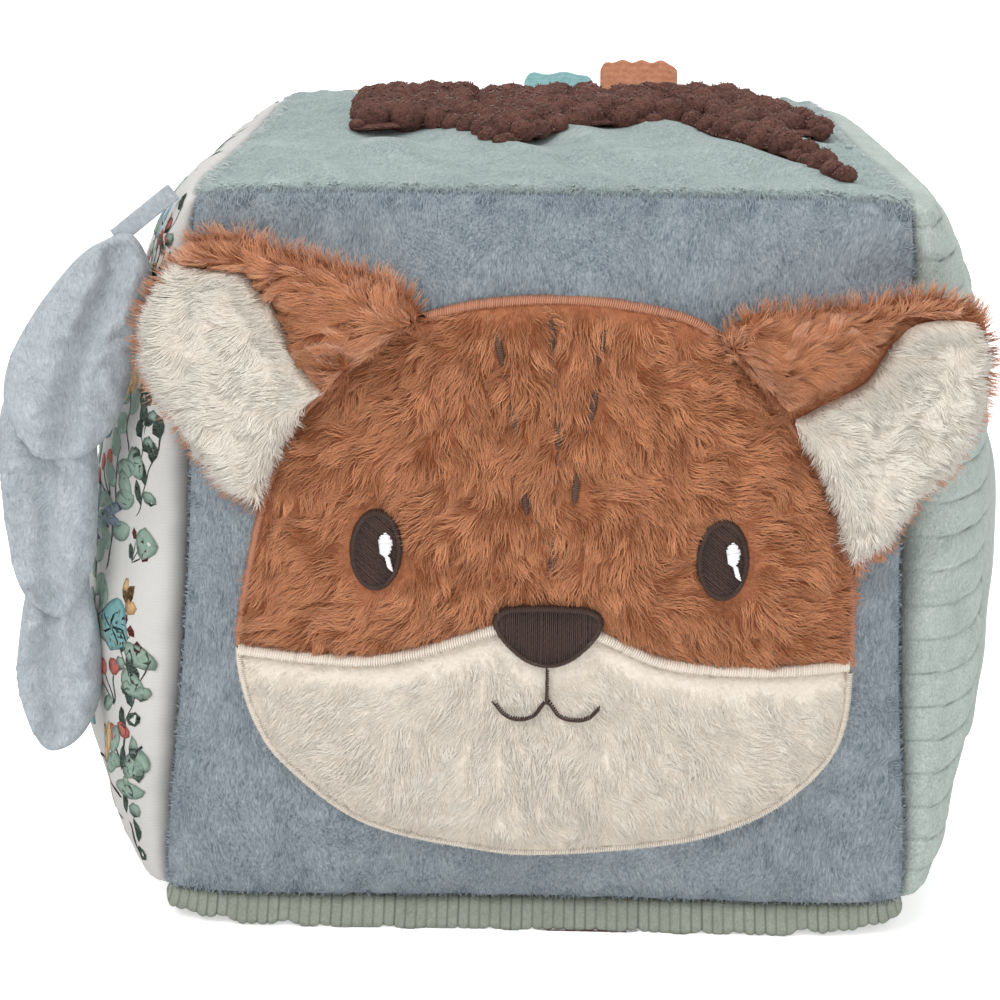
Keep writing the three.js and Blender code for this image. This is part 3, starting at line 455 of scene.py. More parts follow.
# %% Woven ground: crossing threads, for the cotton, the ribbons and the tabs
woven, given, result = start_group(
    "woven",
    [
        ("Vector", "Vector", None),
        ("Thread Scale", "Vector", (1800.0, 1800.0, 1800.0)),
        ("Depth", "Float", 0.0001),
    ],
    [("Thread", "Float"), ("Normal", "Vector")],
)
tree = woven
place = vector_of(tree, "MULTIPLY", given["Vector"], given["Thread Scale"])
axes = add_node(tree, "ShaderNodeSeparateXYZ", {0: place}).outputs
waves = [combine(tree, "SINE", axis) for axis in axes]
both = combine(tree, "MULTIPLY", combine(tree, "ADD", waves[0], waves[1]), waves[2])
slub = noise(tree, place, 0.35, 3.0, 0.6)
thread = combine(tree, "MULTIPLY_ADD", both, 0.22, slub)
tree.links.new(thread, result.inputs["Thread"])
emboss(tree, thread, given["Depth"], 0.8, result.inputs["Normal"])

# %% Hairs and threads: painted shade darkens each root and each thread's ends, the rest is lighter, and each has its own tone
hair_shade, given, result = start_group(
    "hair_shade",
    [
        ("Root", "Color", (0.05, 0.02, 0.01, 1)),
        ("Tip", "Color", (0.5, 0.3, 0.2, 1)),
        ("Root Reach", "Float", 0.6),
        ("Variation", "Float", 0.5),
    ],
    [("Color", "Color"), ("Share", "Float")],
)
tree = hair_shade
along = add_node(tree, "ShaderNodeAttribute", attribute_name="along").outputs["Fac"]
shade = add_node(tree, "ShaderNodeAttribute", attribute_name="shade").outputs["Fac"]
# Painted shade: the Root colour stands for the shade at the foot of the hairs and where a thread sinks into
# the cloth
root_shade_share = clamped(tree, combine(tree, "DIVIDE", along, given["Root Reach"]))
share = clamped(tree, combine(tree, "ADD", root_shade_share, about_zero(tree, shade, given["Variation"])))
tree.links.new(mixed(tree, share, given["Root"], given["Tip"]), result.inputs["Color"])
tree.links.new(share, result.inputs["Share"])
print("shader groups", [g.name for g in bpy.data.node_groups])

# %% Materials from the groups


def place_group(tree, group, values):
    return add_node(tree, "ShaderNodeGroup", values, node_tree=group).outputs


def start_material(name, roughness, sheen=0.0, sheen_tint=(1, 1, 1, 1), metallic=0.0, specular=0.3, soft=0.0):
    """soft is the share of light that passes into the fibres and comes out beside."""
    material = bpy.data.materials.new(name)
    material.use_nodes = True
    tree = material.node_tree
    tree.nodes.clear()
    values = {"Roughness": roughness, "Metallic": metallic, "Specular IOR Level": specular}
    values |= {"Subsurface Weight": soft, "Subsurface Radius": (1.0, 1.0, 1.0), "Subsurface Scale": 0.0008}
    values |= {"Sheen Weight": sheen, "Sheen Roughness": 0.45, "Sheen Tint": sheen_tint}
    shader = add_node(tree, "ShaderNodeBsdfPrincipled", values)
    add_node(tree, "ShaderNodeOutputMaterial", {"Surface": shader.outputs[0]})
    place = add_node(tree, "ShaderNodeTexCoord").outputs["Object"]
    return material, tree, shader, place


def pile_material(name, shadow, tip, nap, patch=60.0, patch_share=0.5, depth=0.0004, sheen=0.35):
    material, tree, shader, place = start_material(name, 0.88, sheen, colour(tip), specular=0.15)
    values = {"Vector": place, "Shadow": colour(shadow), "Tip": colour(tip), "Nap Scale": nap}
    values |= {"Patch Scale": patch, "Patch Share": patch_share, "Depth": depth}
    made = place_group(tree, short_pile, values)
    tree.links.new(made["Color"], shader.inputs["Base Color"])
    tree.links.new(made["Normal"], shader.inputs["Normal"])
    return material


# Painted shade: root is the darker colour given to the hairs' roots for the shade among them; tip is the
# hair's own colour
def hair_material(name, root, tip, reach=0.6, variation=0.6, sheen=0.1, roughness=0.6, soft=0.4):
    made = start_material(name, roughness, sheen, colour(tip), specular=0.15, soft=soft)
    material, tree, shader, place = made
    values = {"Root": colour(root), "Tip": colour(tip), "Root Reach": reach, "Variation": variation}
    made = place_group(tree, hair_shade, values)
    tree.links.new(made["Color"], shader.inputs["Base Color"])
    grain = noise(tree, place, 2600.0, 2.0)
    rough = add_node(tree, "ShaderNodeMapRange", {"Value": grain, 3: roughness - 0.1, 4: roughness + 0.15})
    tree.links.new(rough.outputs[0], shader.inputs["Roughness"])
    return material


def thread_material(name, dark, light, roughness=0.5):
    """Embroidery thread: rayon, with a soft shine and a fine twist."""
    material, tree, shader, place = start_material(name, roughness, 0.15, colour(light), specular=0.4)
    # Painted shade: dark is the colour at the ends of each stitch, where it sinks into the cloth; light is
    # the thread's own colour
    values = {"Root": colour(dark), "Tip": colour(light), "Root Reach": 0.9, "Variation": 0.8}
    made = place_group(tree, hair_shade, values)
    tree.links.new(made["Color"], shader.inputs["Base Color"])
    emboss(tree, noise(tree, place, 5200.0, 2.0, 0.6), 0.00005, 0.6, shader.inputs["Normal"])
    return material


print("material makers ready")

# %% [markdown]
# ## The six covers
# Each cover is one cut of fabric, sewn along four edges. Its outer side is a fine grid on the panel's rule,
# so the border can turn over into the seam and the fabric can pucker beside it. Its inner side only has to
# close the piece, so it is a few coarse rings. The two corduroys get their ribs from a Geometry Nodes tree
# that lifts each point by where it lies across the wale.

# %% A cover with a fine outside and a plain inside
COVER_THICKNESS = 0.0017
EDGE_RADIUS = 0.0022


def edge_pucker(u, v, seed, depth):
    """Small gathers beside the seams, which fade out towards the middle."""
    total = np.zeros(len(u))
    dice = np.random.default_rng(seed)
    for near, run in ((u, v), (v, u)):
        for side in (-1, 1):
            gap = (1 - side * near) * HALF
            fade = np.exp(-gap / 0.011) * np.clip(gap / 0.0018, 0, 1)
            fade *= np.clip((1 - np.abs(run)) * 12, 0, 1)
            waves = sum(
                np.sin(run * HALF * 2 * math.pi / w + dice.uniform(0, 6.28) + 40 * gap * dice.uniform(-1, 1))
                for w in (0.0068, 0.0104, 0.0171)
            )
            total += fade * waves / 3
    return depth * total


def cover_rise(u, v, seed, pucker, ripple):
    """How far the cloth stands off its rule: gathers beside the seams and a soft ripple in the open."""
    fade = np.clip((1 - np.abs(u)) * 7, 0, 1) * np.clip((1 - np.abs(v)) * 7, 0, 1)
    flat = np.stack([u, v], 1) * HALF
    return edge_pucker(u, v, seed, pucker) + ripple * fade * gentle_waves(flat, 0.031, seed + 50)


def make_cover(
    name, panel, columns, rows, finish, pucker=0.0007, ripple=0.0006, seed=1, eased=False, hollow=None
):
    """eased rows crowd towards the seams, where a panel turns sharply; hollow(flat) sinks the cloth."""
    u_line, v_line = np.linspace(-1, 1, columns), np.linspace(-1, 1, rows)
    if eased:
        v_line = np.sin(v_line * math.pi / 2)
    u, v = (a.ravel() for a in np.meshgrid(u_line, v_line, indexing="ij"))
    rise = cover_rise(u, v, seed, pucker, ripple)
    if hollow:
        rise -= hollow(np.stack([u, v], 1) * HALF)
    outer = panel_points(panel, u, v, rise, round_edge=EDGE_RADIUS)
    ring = [(s, -1.0) for s in u_line[:-1]] + [(1.0, s) for s in v_line[:-1]]
    ring += [(s, 1.0) for s in u_line[:0:-1]] + [(-1.0, s) for s in v_line[:0:-1]]
    ring = np.array(ring)
    inner = []
    for shrink in (0.955, 0.75, 0.45, 0.15):
        u_in, v_in = ring.T * shrink
        inner.append(panel_points(panel, u_in, v_in, -COVER_THICKNESS, share=0.995))
    middle = panel_points(panel, 0, 0, -COVER_THICKNESS)
    points = np.vstack([outer, *inner, middle])
    faces = list(grid_faces(columns, rows))
    count = len(ring)
    loops = [np.array(border_of_grid(columns, rows))]
    loops += [len(outer) + k * count + np.arange(count) for k in range(len(inner))]
    for first, second in zip(loops, loops[1:]):
        faces += list(np.stack([np.roll(first, -1), first, second, np.roll(second, -1)], 1))
    last, tip = loops[-1], len(points) - 1
    faces += [(int(b), int(a), tip) for a, b in zip(last, np.roll(last, -1))]
    piece = make_piece(name, points, faces, finish)
    fill = np.zeros(len(points) - len(u))
    outside = np.clip((1 - np.maximum(abs(u), abs(v))) * HALF / 0.002, 0, 1)
    for key, values in (("across", u * HALF), ("up", v * HALF), ("outside", outside)):
        store(piece, key, np.concatenate([values, fill]))
    return piece


def settle(piece, body, slot, nodes):
    """Fastens a piece to the body it moves with and hides the imported solids it stands for. slot, the
    finish's name, is not used.
    """
    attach(piece, body)
    if nodes:
        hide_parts(*nodes)
    return piece


def triangles(piece):
    return sum(len(p.vertices) - 2 for p in piece.data.polygons)


# %% Geometry Nodes: start a tree, and turn its result into a plain mesh


def start_tree(name, inputs):
    tree = bpy.data.node_groups.new(name, "GeometryNodeTree")
    tree.interface.new_socket("Geometry", in_out="INPUT", socket_type="NodeSocketGeometry")
    for socket, kind, value in inputs:
        made = tree.interface.new_socket(socket, in_out="INPUT", socket_type="NodeSocket" + kind)
        if value is not None:
            made.default_value = value
    tree.interface.new_socket("Geometry", in_out="OUTPUT", socket_type="NodeSocketGeometry")
    given = add_node(tree, "NodeGroupInput").outputs
    result = add_node(tree, "NodeGroupOutput")
    return tree, given, result


def grow(piece, tree, values):
    """Runs a tree on a piece with the given inputs, and keeps the result as the piece's plain mesh."""
    modifier = piece.modifiers.new(tree.name, "NODES")
    modifier.node_group = tree
    for item in tree.interface.items_tree:
        if item.item_type == "SOCKET" and item.in_out == "INPUT" and item.name in values:
            modifier[item.identifier] = values[item.name]
    bpy.context.view_layer.update()
    evaluated = piece.evaluated_get(bpy.context.evaluated_depsgraph_get())
    mesh = bpy.data.meshes.new_from_object(evaluated)
    piece.modifiers.remove(modifier)
    old = piece.data
    piece.data = mesh
    bpy.data.meshes.remove(old)
    mesh.name = piece.name
    return piece


def named(tree, name, kind="FLOAT"):
    node = add_node(tree, "GeometryNodeInputNamedAttribute", {"Name": name}, data_type=kind)
    return node.outputs["Attribute"]


def marked(tree, geometry, name, value):
    values = {"Geometry": geometry, "Name": name, "Value": value}
    return add_node(tree, "GeometryNodeStoreNamedAttribute", values, data_type="FLOAT").outputs[0]


def end_tree(tree, given, result, geometry, smooth=True):
    """The last nodes of every tree: smooth faces, the finish and the way out."""
    if smooth:
        geometry = add_node(tree, "GeometryNodeSetShadeSmooth", {"Geometry": geometry}).outputs[0]
    values = {"Geometry": geometry, "Material": given["Finish"]}
    tree.links.new(add_node(tree, "GeometryNodeSetMaterial", values).outputs[0], result.inputs[0])


def stand_on_points(tree, given, result, kinds, count, rotation):
    """Stands one of the count kinds, drawn by lot, on every point at its own reach, as plain mesh."""
    values = {"Seed": given["Seed"], 4: 0, 5: count - 1}
    pick = add_node(tree, "FunctionNodeRandomValue", values, data_type="INT")
    values = {"Points": given["Geometry"], "Instance": kinds.outputs[0], "Pick Instance": True}
    values |= {"Instance Index": pick.outputs[2], "Rotation": rotation, "Scale": named(tree, "reach")}
    stood = add_node(tree, "GeometryNodeInstanceOnPoints", values)
    real = add_node(tree, "GeometryNodeRealizeInstances", {0: stood.outputs[0]})
    end_tree(tree, given, result, real.outputs[0])


# %% The tree that raises corduroy ribs
corduroy_ribs, given, result = start_tree(
    "corduroy_ribs",
    [
        ("Pitch", "Float", 0.0072),
        ("Rib Height", "Float", 0.0016),
        ("Groove Sharpness", "Float", 0.5),
        ("Finish", "Material", None),
    ],
)
tree = corduroy_ribs
turn = combine(tree, "DIVIDE", named(tree, "wale"), given["Pitch"])
across_rib = combine(tree, "MULTIPLY_ADD", combine(tree, "FRACT", turn), 2.0, -1.0)
round_top = combine(tree, "SUBTRACT", 1.0, combine(tree, "MULTIPLY", across_rib, across_rib))
profile = combine(tree, "POWER", combine(tree, "MAXIMUM", round_top, 0.0), given["Groove Sharpness"])
lift = combine(tree, "MULTIPLY", profile, given["Rib Height"])
lift = combine(tree, "MULTIPLY", lift, named(tree, "outside"))
offset = scaled(tree, named(tree, "out_way", "FLOAT_VECTOR"), lift)
moved = add_node(tree, "GeometryNodeSetPosition", {"Geometry": given["Geometry"], "Offset": offset})
end_tree(tree, given, result, marked(tree, moved.outputs[0], "rib", profile), smooth=False)
print("trees", corduroy_ribs.name)


def corduroy_material(name, groove, body, tip, nap, sheen=0.3):
    """Ribbed pile: the groove is painted darker, partly for the ground cloth that shows there and partly as
    painted shade; the rib's crown keeps the lighter pile.
    """
    material, tree, shader, place = start_material(name, 0.9, sheen, colour(tip), specular=0.12)
    values = {"Vector": place, "Shadow": colour(body), "Tip": colour(tip), "Nap Scale": nap}
    values |= {"Patch Scale": 70.0, "Patch Share": 0.4, "Depth": 0.00035}
    made = place_group(tree, short_pile, values)
    rib = add_node(tree, "ShaderNodeAttribute", attribute_name="rib").outputs["Fac"]
    # Painted shade, and the ground cloth's own darker colour: the groove colour fills in where the rib's
    # profile is low
    deep = add_node(tree, "ShaderNodeMapRange", {"Value": rib, 1: 0.1, 2: 0.7}).outputs[0]
    tree.links.new(mixed(tree, deep, colour(groove), made["Color"]), shader.inputs["Base Color"])
    tree.links.new(made["Normal"], shader.inputs["Normal"])
    return material


# %% Front, top and back: short plush
blue_plush = pile_material("blue_plush", "47545f", "aab3b9", (3000.0, 3000.0, 760.0), 34.0, 0.3, 0.0004)
front_cover = make_cover("front_cover_plush", FRONT, 150, 150, blue_plush, 0.0009, 0.0006, seed=11)
settle(front_cover, "cube", "blue_plush", ["front_cover"])
mint_plush = pile_material("mint_plush", "6f7f7d", "aebab8", (2600.0, 800.0, 2600.0), 34.0, 0.4, 0.0003)
top_cover = make_cover("top_cover_plush", TOP, 130, 130, mint_plush, 0.0013, 0.0009, seed=23)
settle(top_cover, "cube", "mint_plush", ["top_cover"])
beige_plush = pile_material("beige_plush", "a89f95", "dcd4cb", (1500.0, 1500.0, 400.0), 60.0, 0.6)
back_cover = make_cover("back_cover_plush", BACK, 110, 110, beige_plush, 0.0009, 0.0007, seed=31)
settle(back_cover, "cube", "beige_plush", ["back_cover"])
print("plush covers", triangles(front_cover), triangles(top_cover), triangles(back_cover))

# %% Right: wide ribs that run level, and bottom: fine ribs that run front to back


def ribbed_cover(name, panel, columns, rows, values, wale, way, finish, **words):
    piece = make_cover(name, panel, columns, rows, finish, **words)
    marks = {key: np.empty(len(piece.data.vertices), np.float32) for key in ("across", "up")}
    for key, array in marks.items():
        piece.data.attributes[key].data.foreach_get("value", array)
    store(piece, "wale", wale(marks["across"], marks["up"]))
    store(piece, "out_way", np.tile(way, (len(piece.data.vertices), 1)), "FLOAT_VECTOR")
    return grow(piece, corduroy_ribs, {**values, "Finish": finish})


mint_corduroy = corduroy_material("mint_corduroy", "5f6c66", "8b9993", "cdd6d1", (2600.0, 2600.0, 1900.0))
WINDOW_AT = np.array([0.0, -0.016])


def window_hollow(flat):
    """The cloth lies lower where the mirror, its frame and its flap lie on it."""
    out = np.abs(flat - WINDOW_AT) / (0.036, 0.033)
    return 0.0014 * np.clip((1.06 - out.max(1)) / 0.12, 0, 1)


right_cover = ribbed_cover(
    "right_cover_corduroy", RIGHT, 90, 316, {"Pitch": 0.0072, "Rib Height": 0.0014, "Groove Sharpness": 0.26},
    lambda across, up: up + 0.0745 + 0.0003 * np.sin(across * 170) + 0.00015 * np.sin(across * 610),
    RIGHT.normal, mint_corduroy, pucker=0.0007, ripple=0.0003, seed=41, hollow=window_hollow,
)  # fmt: skip
settle(right_cover, "cube", "mint_corduroy", ["right_cover"])
sage_corduroy = corduroy_material("sage_corduroy", "62665c", "83897d", "a6ab9e", (2200.0, 700.0, 2200.0))
bottom_cover = ribbed_cover(
    "bottom_cover_corduroy", BOTTOM, 560, 60,
    {"Pitch": 0.0021, "Rib Height": 0.0006, "Groove Sharpness": 0.6},
    lambda across, up: across + 0.08, BOTTOM.normal, sage_corduroy, pucker=0.0012, seed=47, eased=True,
)  # fmt: skip
floor_points = np.empty(len(bottom_cover.data.vertices) * 3, np.float32)
bottom_cover.data.vertices.foreach_get("co", floor_points)
floor_points[2::3] = np.maximum(floor_points[2::3], 0.0)
bottom_cover.data.vertices.foreach_set("co", floor_points)
settle(bottom_cover, "cube", "sage_corduroy", ["bottom_cover"])
print("corduroy covers", triangles(right_cover), triangles(bottom_cover))

# %% Left: white cotton, which the print is laid on later


def weave_material(name, dark, light, cloud_scale, warp, thread_share, cloud_share):
    """A woven ground whose tone comes and goes in soft clouds, as bare cotton and as thin paint on it."""
    material, tree, shader, place = start_material(name, 0.92, 0.05, specular=0.1)
    values = {"Vector": place, "Thread Scale": (0.0, 9000.0, 9000.0), "Depth": 0.00003}
    made = place_group(tree, woven, values)
    clouds = combine(tree, "MULTIPLY", noise(tree, place, cloud_scale, 3.0, 0.6, warp), cloud_share)
    share = combine(tree, "MULTIPLY_ADD", made["Thread"], thread_share, clouds)
    tree.links.new(mixed(tree, share, colour(dark), colour(light)), shader.inputs["Base Color"])
    tree.links.new(made["Normal"], shader.inputs["Normal"])
    return material


white_cotton = weave_material("white_cotton", "b5b4b1", "dfddd9", 26.0, 0.0, 0.25, 0.6)
LEFT_CLOTH = {"seed": 53, "pucker": 0.0009, "ripple": 0.0011}
left_cover = make_cover("left_cover_cotton", LEFT, 110, 130, white_cotton, **LEFT_CLOTH)
settle(left_cover, "cube", "white_cotton", ["left_cover"])
print("cotton cover", triangles(left_cover))

# %% [markdown]
# ## Flat cuts that are padded
# The face, the ears, the leaf and the patches are all cut from cloth to an outline. One tool fills an
# outline with small triangles, lifts the points by how far they lie inside it, and closes the back, so
# every one of them is a closed pad with a rolled edge.

# %% A pad from an outline


def filled(outline, pitch, seed=5):
    """Points inside the outline on a loose lattice, the outline's own points first, and the triangles."""
    dice = np.random.default_rng(seed)
    low, high = outline.min(0), outline.max(0)
    across = np.arange(low[0], high[0], pitch)
    up = np.arange(low[1], high[1], pitch * 0.87)
    grid = np.array([(x + (j % 2) * pitch / 2, y) for j, y in enumerate(up) for x in across])
    grid += dice.uniform(-0.12, 0.12, grid.shape) * pitch
    grid = grid[inside(outline, grid)]
    grid = grid[line_distance(outline, grid) > 0.45 * pitch]
    points = np.vstack([outline, grid])
    rim = list(range(len(outline)))
    made = delaunay_2d_cdt([Vector(p) for p in points * 1000], [], [rim], 1, 1e-6)
    return np.array([tuple(p) for p in made[0]]) / 1000, [tuple(f) for f in made[2]]


def dome(gap, reach, power=2.0):
    """0 at the rim and 1 from reach inwards, as a rolled edge."""
    t = np.clip(gap / reach, 0, 1)
    return (1 - (1 - t) ** power) ** (1 / power)


def pad_shape(outline, pitch, place, front, back, seed=5):
    """place(flat, rise) puts flat points in place; front and back give the rise from the rim gap."""
    outline = spaced(outline, pitch)
    area = np.cross(outline, np.roll(outline, -1, 0)).sum()
    outline = outline if area > 0 else outline[::-1]
    flat, faces = filled(outline, pitch, seed)
    gap = line_distance(outline, flat)
    rim = gap < 1e-7
    top_rise, low_rise = front(gap, flat), back(gap, flat)
    low_rise = np.where(rim, top_rise, low_rise)
    top, low = place(flat, top_rise), place(flat, low_rise)
    low_index = np.where(rim, np.arange(len(flat)), 0)
    low_index[~rim] = len(flat) + np.arange((~rim).sum())
    points = np.vstack([top, low[~rim]])
    turns = [np.cross(flat[b] - flat[a], flat[c] - flat[a]) for a, b, c in faces]
    ordered = [face if turn > 0 else face[::-1] for face, turn in zip(faces, turns)]
    backs = [tuple(low_index[list(f[::-1])]) for f in ordered]
    return points, ordered + backs


def make_pad(name, outline, pitch, place, front, back, finish, seed=5):
    return make_piece(name, *pad_shape(outline, pitch, place, front, back, seed), finish)


def level(height):
    """A side of a pad that keeps one height."""
    return lambda gap, flat: height + 0 * gap


def on_panel(panel):
    """Flat points give back what the front spreads and the top narrows, so motifs keep their size."""

    def place(flat, rise):
        u, v = flat.T / HALF
        if panel is FRONT:
            u = (u - FRONT_LEAN / HALF * v) / (1 + FRONT_SPREAD / HALF)
        if panel is TOP:
            u = u / (1 - BACK_NARROWING * (1 + v) / 2)
        return panel_points(panel, u, v, rise)

    return place


# %% [markdown]
# ## Pile, lock by lock
# Long pile is what makes the face and the ears, so it is real geometry: thousands of thin tapered hairs.
# Where they root, which way they are combed and how they gather into locks are worked out with arrays, and
# a Geometry Nodes tree then stands one bent hair on every root. Four hairs with different crimps take turns.

# %% The tree that grows hairs from marked roots
fur_pile, given, result = start_tree(
    "fur_pile",
    [
        ("Hair Width", "Float", 0.0003),
        ("Hair Length", "Float", 0.005),
        ("Arch", "Float", 0.12),
        ("Crimp", "Float", 0.05),
        ("Steps", "Int", 3),
        ("Seed", "Int", 1),
        ("Finish", "Material", None),
    ],
)
tree = fur_pile
HAIR_SIDES, HAIR_KINDS = 3, 4
kinds = add_node(tree, "GeometryNodeJoinGeometry")
for kind_number in range(HAIR_KINDS):
    values = {"Vertices": HAIR_SIDES, "Side Segments": given["Steps"], "Depth": given["Hair Length"]}
    values |= {"Radius Top": 0.0, "Radius Bottom": combine(tree, "MULTIPLY", given["Hair Width"], 0.5)}
    cone = add_node(tree, "GeometryNodeMeshCone", values, fill_type="NONE")
    here = add_node(tree, "GeometryNodeInputPosition").outputs[0]
    spot = add_node(tree, "ShaderNodeSeparateXYZ", {0: here})
    share = combine(tree, "DIVIDE", spot.outputs[2], given["Hair Length"])
    hair = marked(tree, cone.outputs[0], "along", share)
    phase = 1.7 * kind_number
    swing = combine(tree, "SINE", combine(tree, "MULTIPLY_ADD", share, 7.5 + kind_number, phase))
    swing = combine(tree, "MULTIPLY", combine(tree, "MULTIPLY", swing, given["Crimp"]), share)
    sway = combine(tree, "SUBTRACT", share, combine(tree, "MULTIPLY", share, share))
    sway = combine(tree, "MULTIPLY", combine(tree, "MULTIPLY", sway, 4.0), given["Arch"])
    shift = {k: combine(tree, "MULTIPLY", way, given["Hair Length"]) for k, way in enumerate((sway, swing))}
    shift = add_node(tree, "ShaderNodeCombineXYZ", shift)
    bent = add_node(tree, "GeometryNodeSetPosition", {"Geometry": hair, "Offset": shift.outputs[0]})
    alone = add_node(tree, "GeometryNodeGeometryToInstance", {0: bent.outputs[0]})
    tree.links.new(alone.outputs[0], kinds.inputs[0])
values = {"Vector": named(tree, "comb", "FLOAT_VECTOR")}
stance = add_node(tree, "FunctionNodeAlignRotationToVector", values, axis="Z")
values = {"Rotation": stance.outputs[0], "Vector": named(tree, "lay", "FLOAT_VECTOR")}
stance = add_node(tree, "FunctionNodeAlignRotationToVector", values, axis="X", pivot_axis="Z")
stand_on_points(tree, given, result, kinds, HAIR_KINDS, stance.outputs[0])
print("hair tree", len(fur_pile.nodes), "nodes")

# %% Roots, combing and locks


def unit(vectors):
    return vectors / np.maximum(np.linalg.norm(vectors, axis=1), 1e-12)[:, None]


def grow_pile(name, roots, lay, comb, reach, values, finish, seed=1, lock=0.0026, gather=0.5, lift=0.35):
    """roots are places, lay the outward normals, comb the ways along the cloth, reach length shares."""
    dice = np.random.default_rng(seed)
    count = len(roots)
    comb = unit(comb - lay * (comb * lay).sum(1)[:, None])
    side = np.cross(lay, comb)
    cell = np.floor(roots / lock + dice.uniform(0, 1, 3)).astype(int)
    key = cell[:, 0] * 73856093 ^ cell[:, 1] * 19349663 ^ cell[:, 2] * 83492791
    _, lock_of = np.unique(key, return_inverse=True)
    locks = lock_of.max() + 1
    total = np.bincount(lock_of, minlength=locks).astype(float)
    centre = np.stack([np.bincount(lock_of, roots[:, k], locks) / total for k in range(3)], 1)
    length = values["Hair Length"] * reach
    relief = gentle_waves(roots, 0.009, seed)
    turn = dice.normal(0, 0.2, locks)[lock_of] + dice.normal(0, 0.1, count)
    rise = 0.8 + 0.35 * relief + dice.uniform(-0.5, 0.6, locks)[lock_of] + dice.uniform(-0.25, 0.25, count)
    rise = lift * np.clip(rise, 0, 2)
    way = unit(comb * np.cos(turn)[:, None] + side * np.sin(turn)[:, None] + lay * rise[:, None])
    tip = roots + way * length[:, None]
    lock_way = np.stack([np.bincount(lock_of, way[:, k] * length, locks) / total for k in range(3)], 1)
    goal = centre + lock_way
    tip += gather * (goal[lock_of] - tip)
    way = unit(tip - roots)
    piece = make_piece(name, roots, [], finish)
    store(piece, "comb", way, "FLOAT_VECTOR")
    store(piece, "lay", lay, "FLOAT_VECTOR")
    store(piece, "reach", reach * dice.uniform(0.75, 1.15, count))
    # Painted light: where the relief rises the hairs are painted lighter, and darker in its hollows; the lock
    # and hair terms are their own random tone
    shade = 0.5 + 0.12 * relief + dice.normal(0, 0.2, locks)[lock_of] + dice.normal(0, 0.06, count)
    store(piece, "shade", np.clip(shade, 0, 1))
    grow(piece, fur_pile, {**values, "Seed": seed, "Finish": finish})
    print(name, count, "hairs", triangles(piece), "triangles")
    return piece


def sprinkle(outline, count, seed):
    """About count random flat points inside the outline."""
    dice = np.random.default_rng(seed)
    low, high = outline.min(0), outline.max(0)
    area = 0.5 * abs(np.cross(outline, np.roll(outline, -1, 0)).sum())
    tries = int(count * np.prod(high - low) / area)
    points = dice.uniform(low, high, (tries, 2))
    return points[inside(outline, points)]


def panel_normals(panel, flat):
    """Outward normals of a panel at flat points, from small steps on its rule."""
    step = 0.0005
    place = on_panel(panel)
    across = place(flat + [step, 0], 0) - place(flat - [step, 0], 0)
    up = place(flat + [0, step], 0) - place(flat - [0, step], 0)
    return unit(np.cross(across, up)), unit(across), unit(up)


# %% [markdown]
# ## The animal face
# The head is one outline, cut in two along the muzzle line: brown above, cream below. Points are shares of
# the head's half width and half height about a middle 0.6 mm right of and 3 mm below the panel's middle.

# %% The head's outlines
HEAD_HALF = np.array([0.0630, 0.0584])
HEAD_AT = np.array([0.0006, -0.0033])
head_shares = [
    (1, -0.18), (1, 0), (0.95, 0.22), (0.88, 0.42), (0.72, 0.68), (0.6, 0.82), (0.47, 0.93), (0.24, 0.985),
    (0.03, 1), (-0.2, 0.985), (-0.37, 0.945), (-0.47, 0.9), (-0.58, 0.82), (-0.71, 0.69), (-0.8, 0.59),
    (-0.88, 0.42), (-0.93, 0.26), (-0.97, 0.02), (-1, -0.22), (-0.98, -0.38), (-0.92, -0.54), (-0.82, -0.68),
    (-0.56, -0.89), (-0.2, -0.985), (0.02, -1), (0.38, -0.955), (0.57, -0.9), (0.75, -0.8), (0.91, -0.64),
    (0.98, -0.47),
]  # fmt: skip
muzzle_shares = [
    (-1.2, -0.25), (-0.98, -0.25), (-0.76, -0.34), (-0.56, -0.34), (-0.38, 0), (-0.15, 0.66), (0.02, 1),
    (0.2, 0.4), (0.36, -0.2), (0.52, -0.42), (0.74, -0.5), (0.97, -0.42), (1.2, -0.42),
]  # fmt: skip
head_line = smooth_closed(np.array(head_shares) * HEAD_HALF + HEAD_AT, 260)
muzzle_line = smooth_open(np.array(muzzle_shares) * [0.0623, 0.0075] + [0.0006, -0.0165], 120)


def muzzle_height(x):
    return np.interp(x, muzzle_line[:, 0], muzzle_line[:, 1])


above = head_line[:, 1] > muzzle_height(head_line[:, 0])
start = int(np.argmax(above & ~np.roll(above, 1)))
rolled, above = np.roll(head_line, -start, 0), np.roll(above, -start)
upper_arc, lower_arc = rolled[above], rolled[~above]
crossing = muzzle_line[inside(head_line, muzzle_line)]
face_line = np.vstack([upper_arc, crossing])
chin_line = np.vstack([lower_arc, crossing[::-1]])
print("head outline", len(head_line), "face", len(face_line), "muzzle", len(chin_line))

# %% The cloth under the pile
GROUND_NAP = ((900.0, 900.0, 900.0), 120.0, 0.5, 0.0006, 0.2)
fur_ground = pile_material("fur_ground", "8a5034", "b87a58", *GROUND_NAP)
cream_ground = pile_material("cream_ground", "d6cabb", "efe6da", *GROUND_NAP)
on_front = on_panel(FRONT)


def face_height(gap, flat):
    return 0.0004 + 0.0019 * dome(gap, 0.006)


HEAD_CLOTH = (0.0017, on_front, face_height, level(0.0002))
face_base = make_pad("face_cloth", face_line, *HEAD_CLOTH, fur_ground)
settle(face_base, "cube", "fox_fur", ["face_fur"])
muzzle_base = make_pad("muzzle_cloth", chin_line, *HEAD_CLOTH, cream_ground)
settle(muzzle_base, "cube", "cream_fur", ["muzzle_fur"])

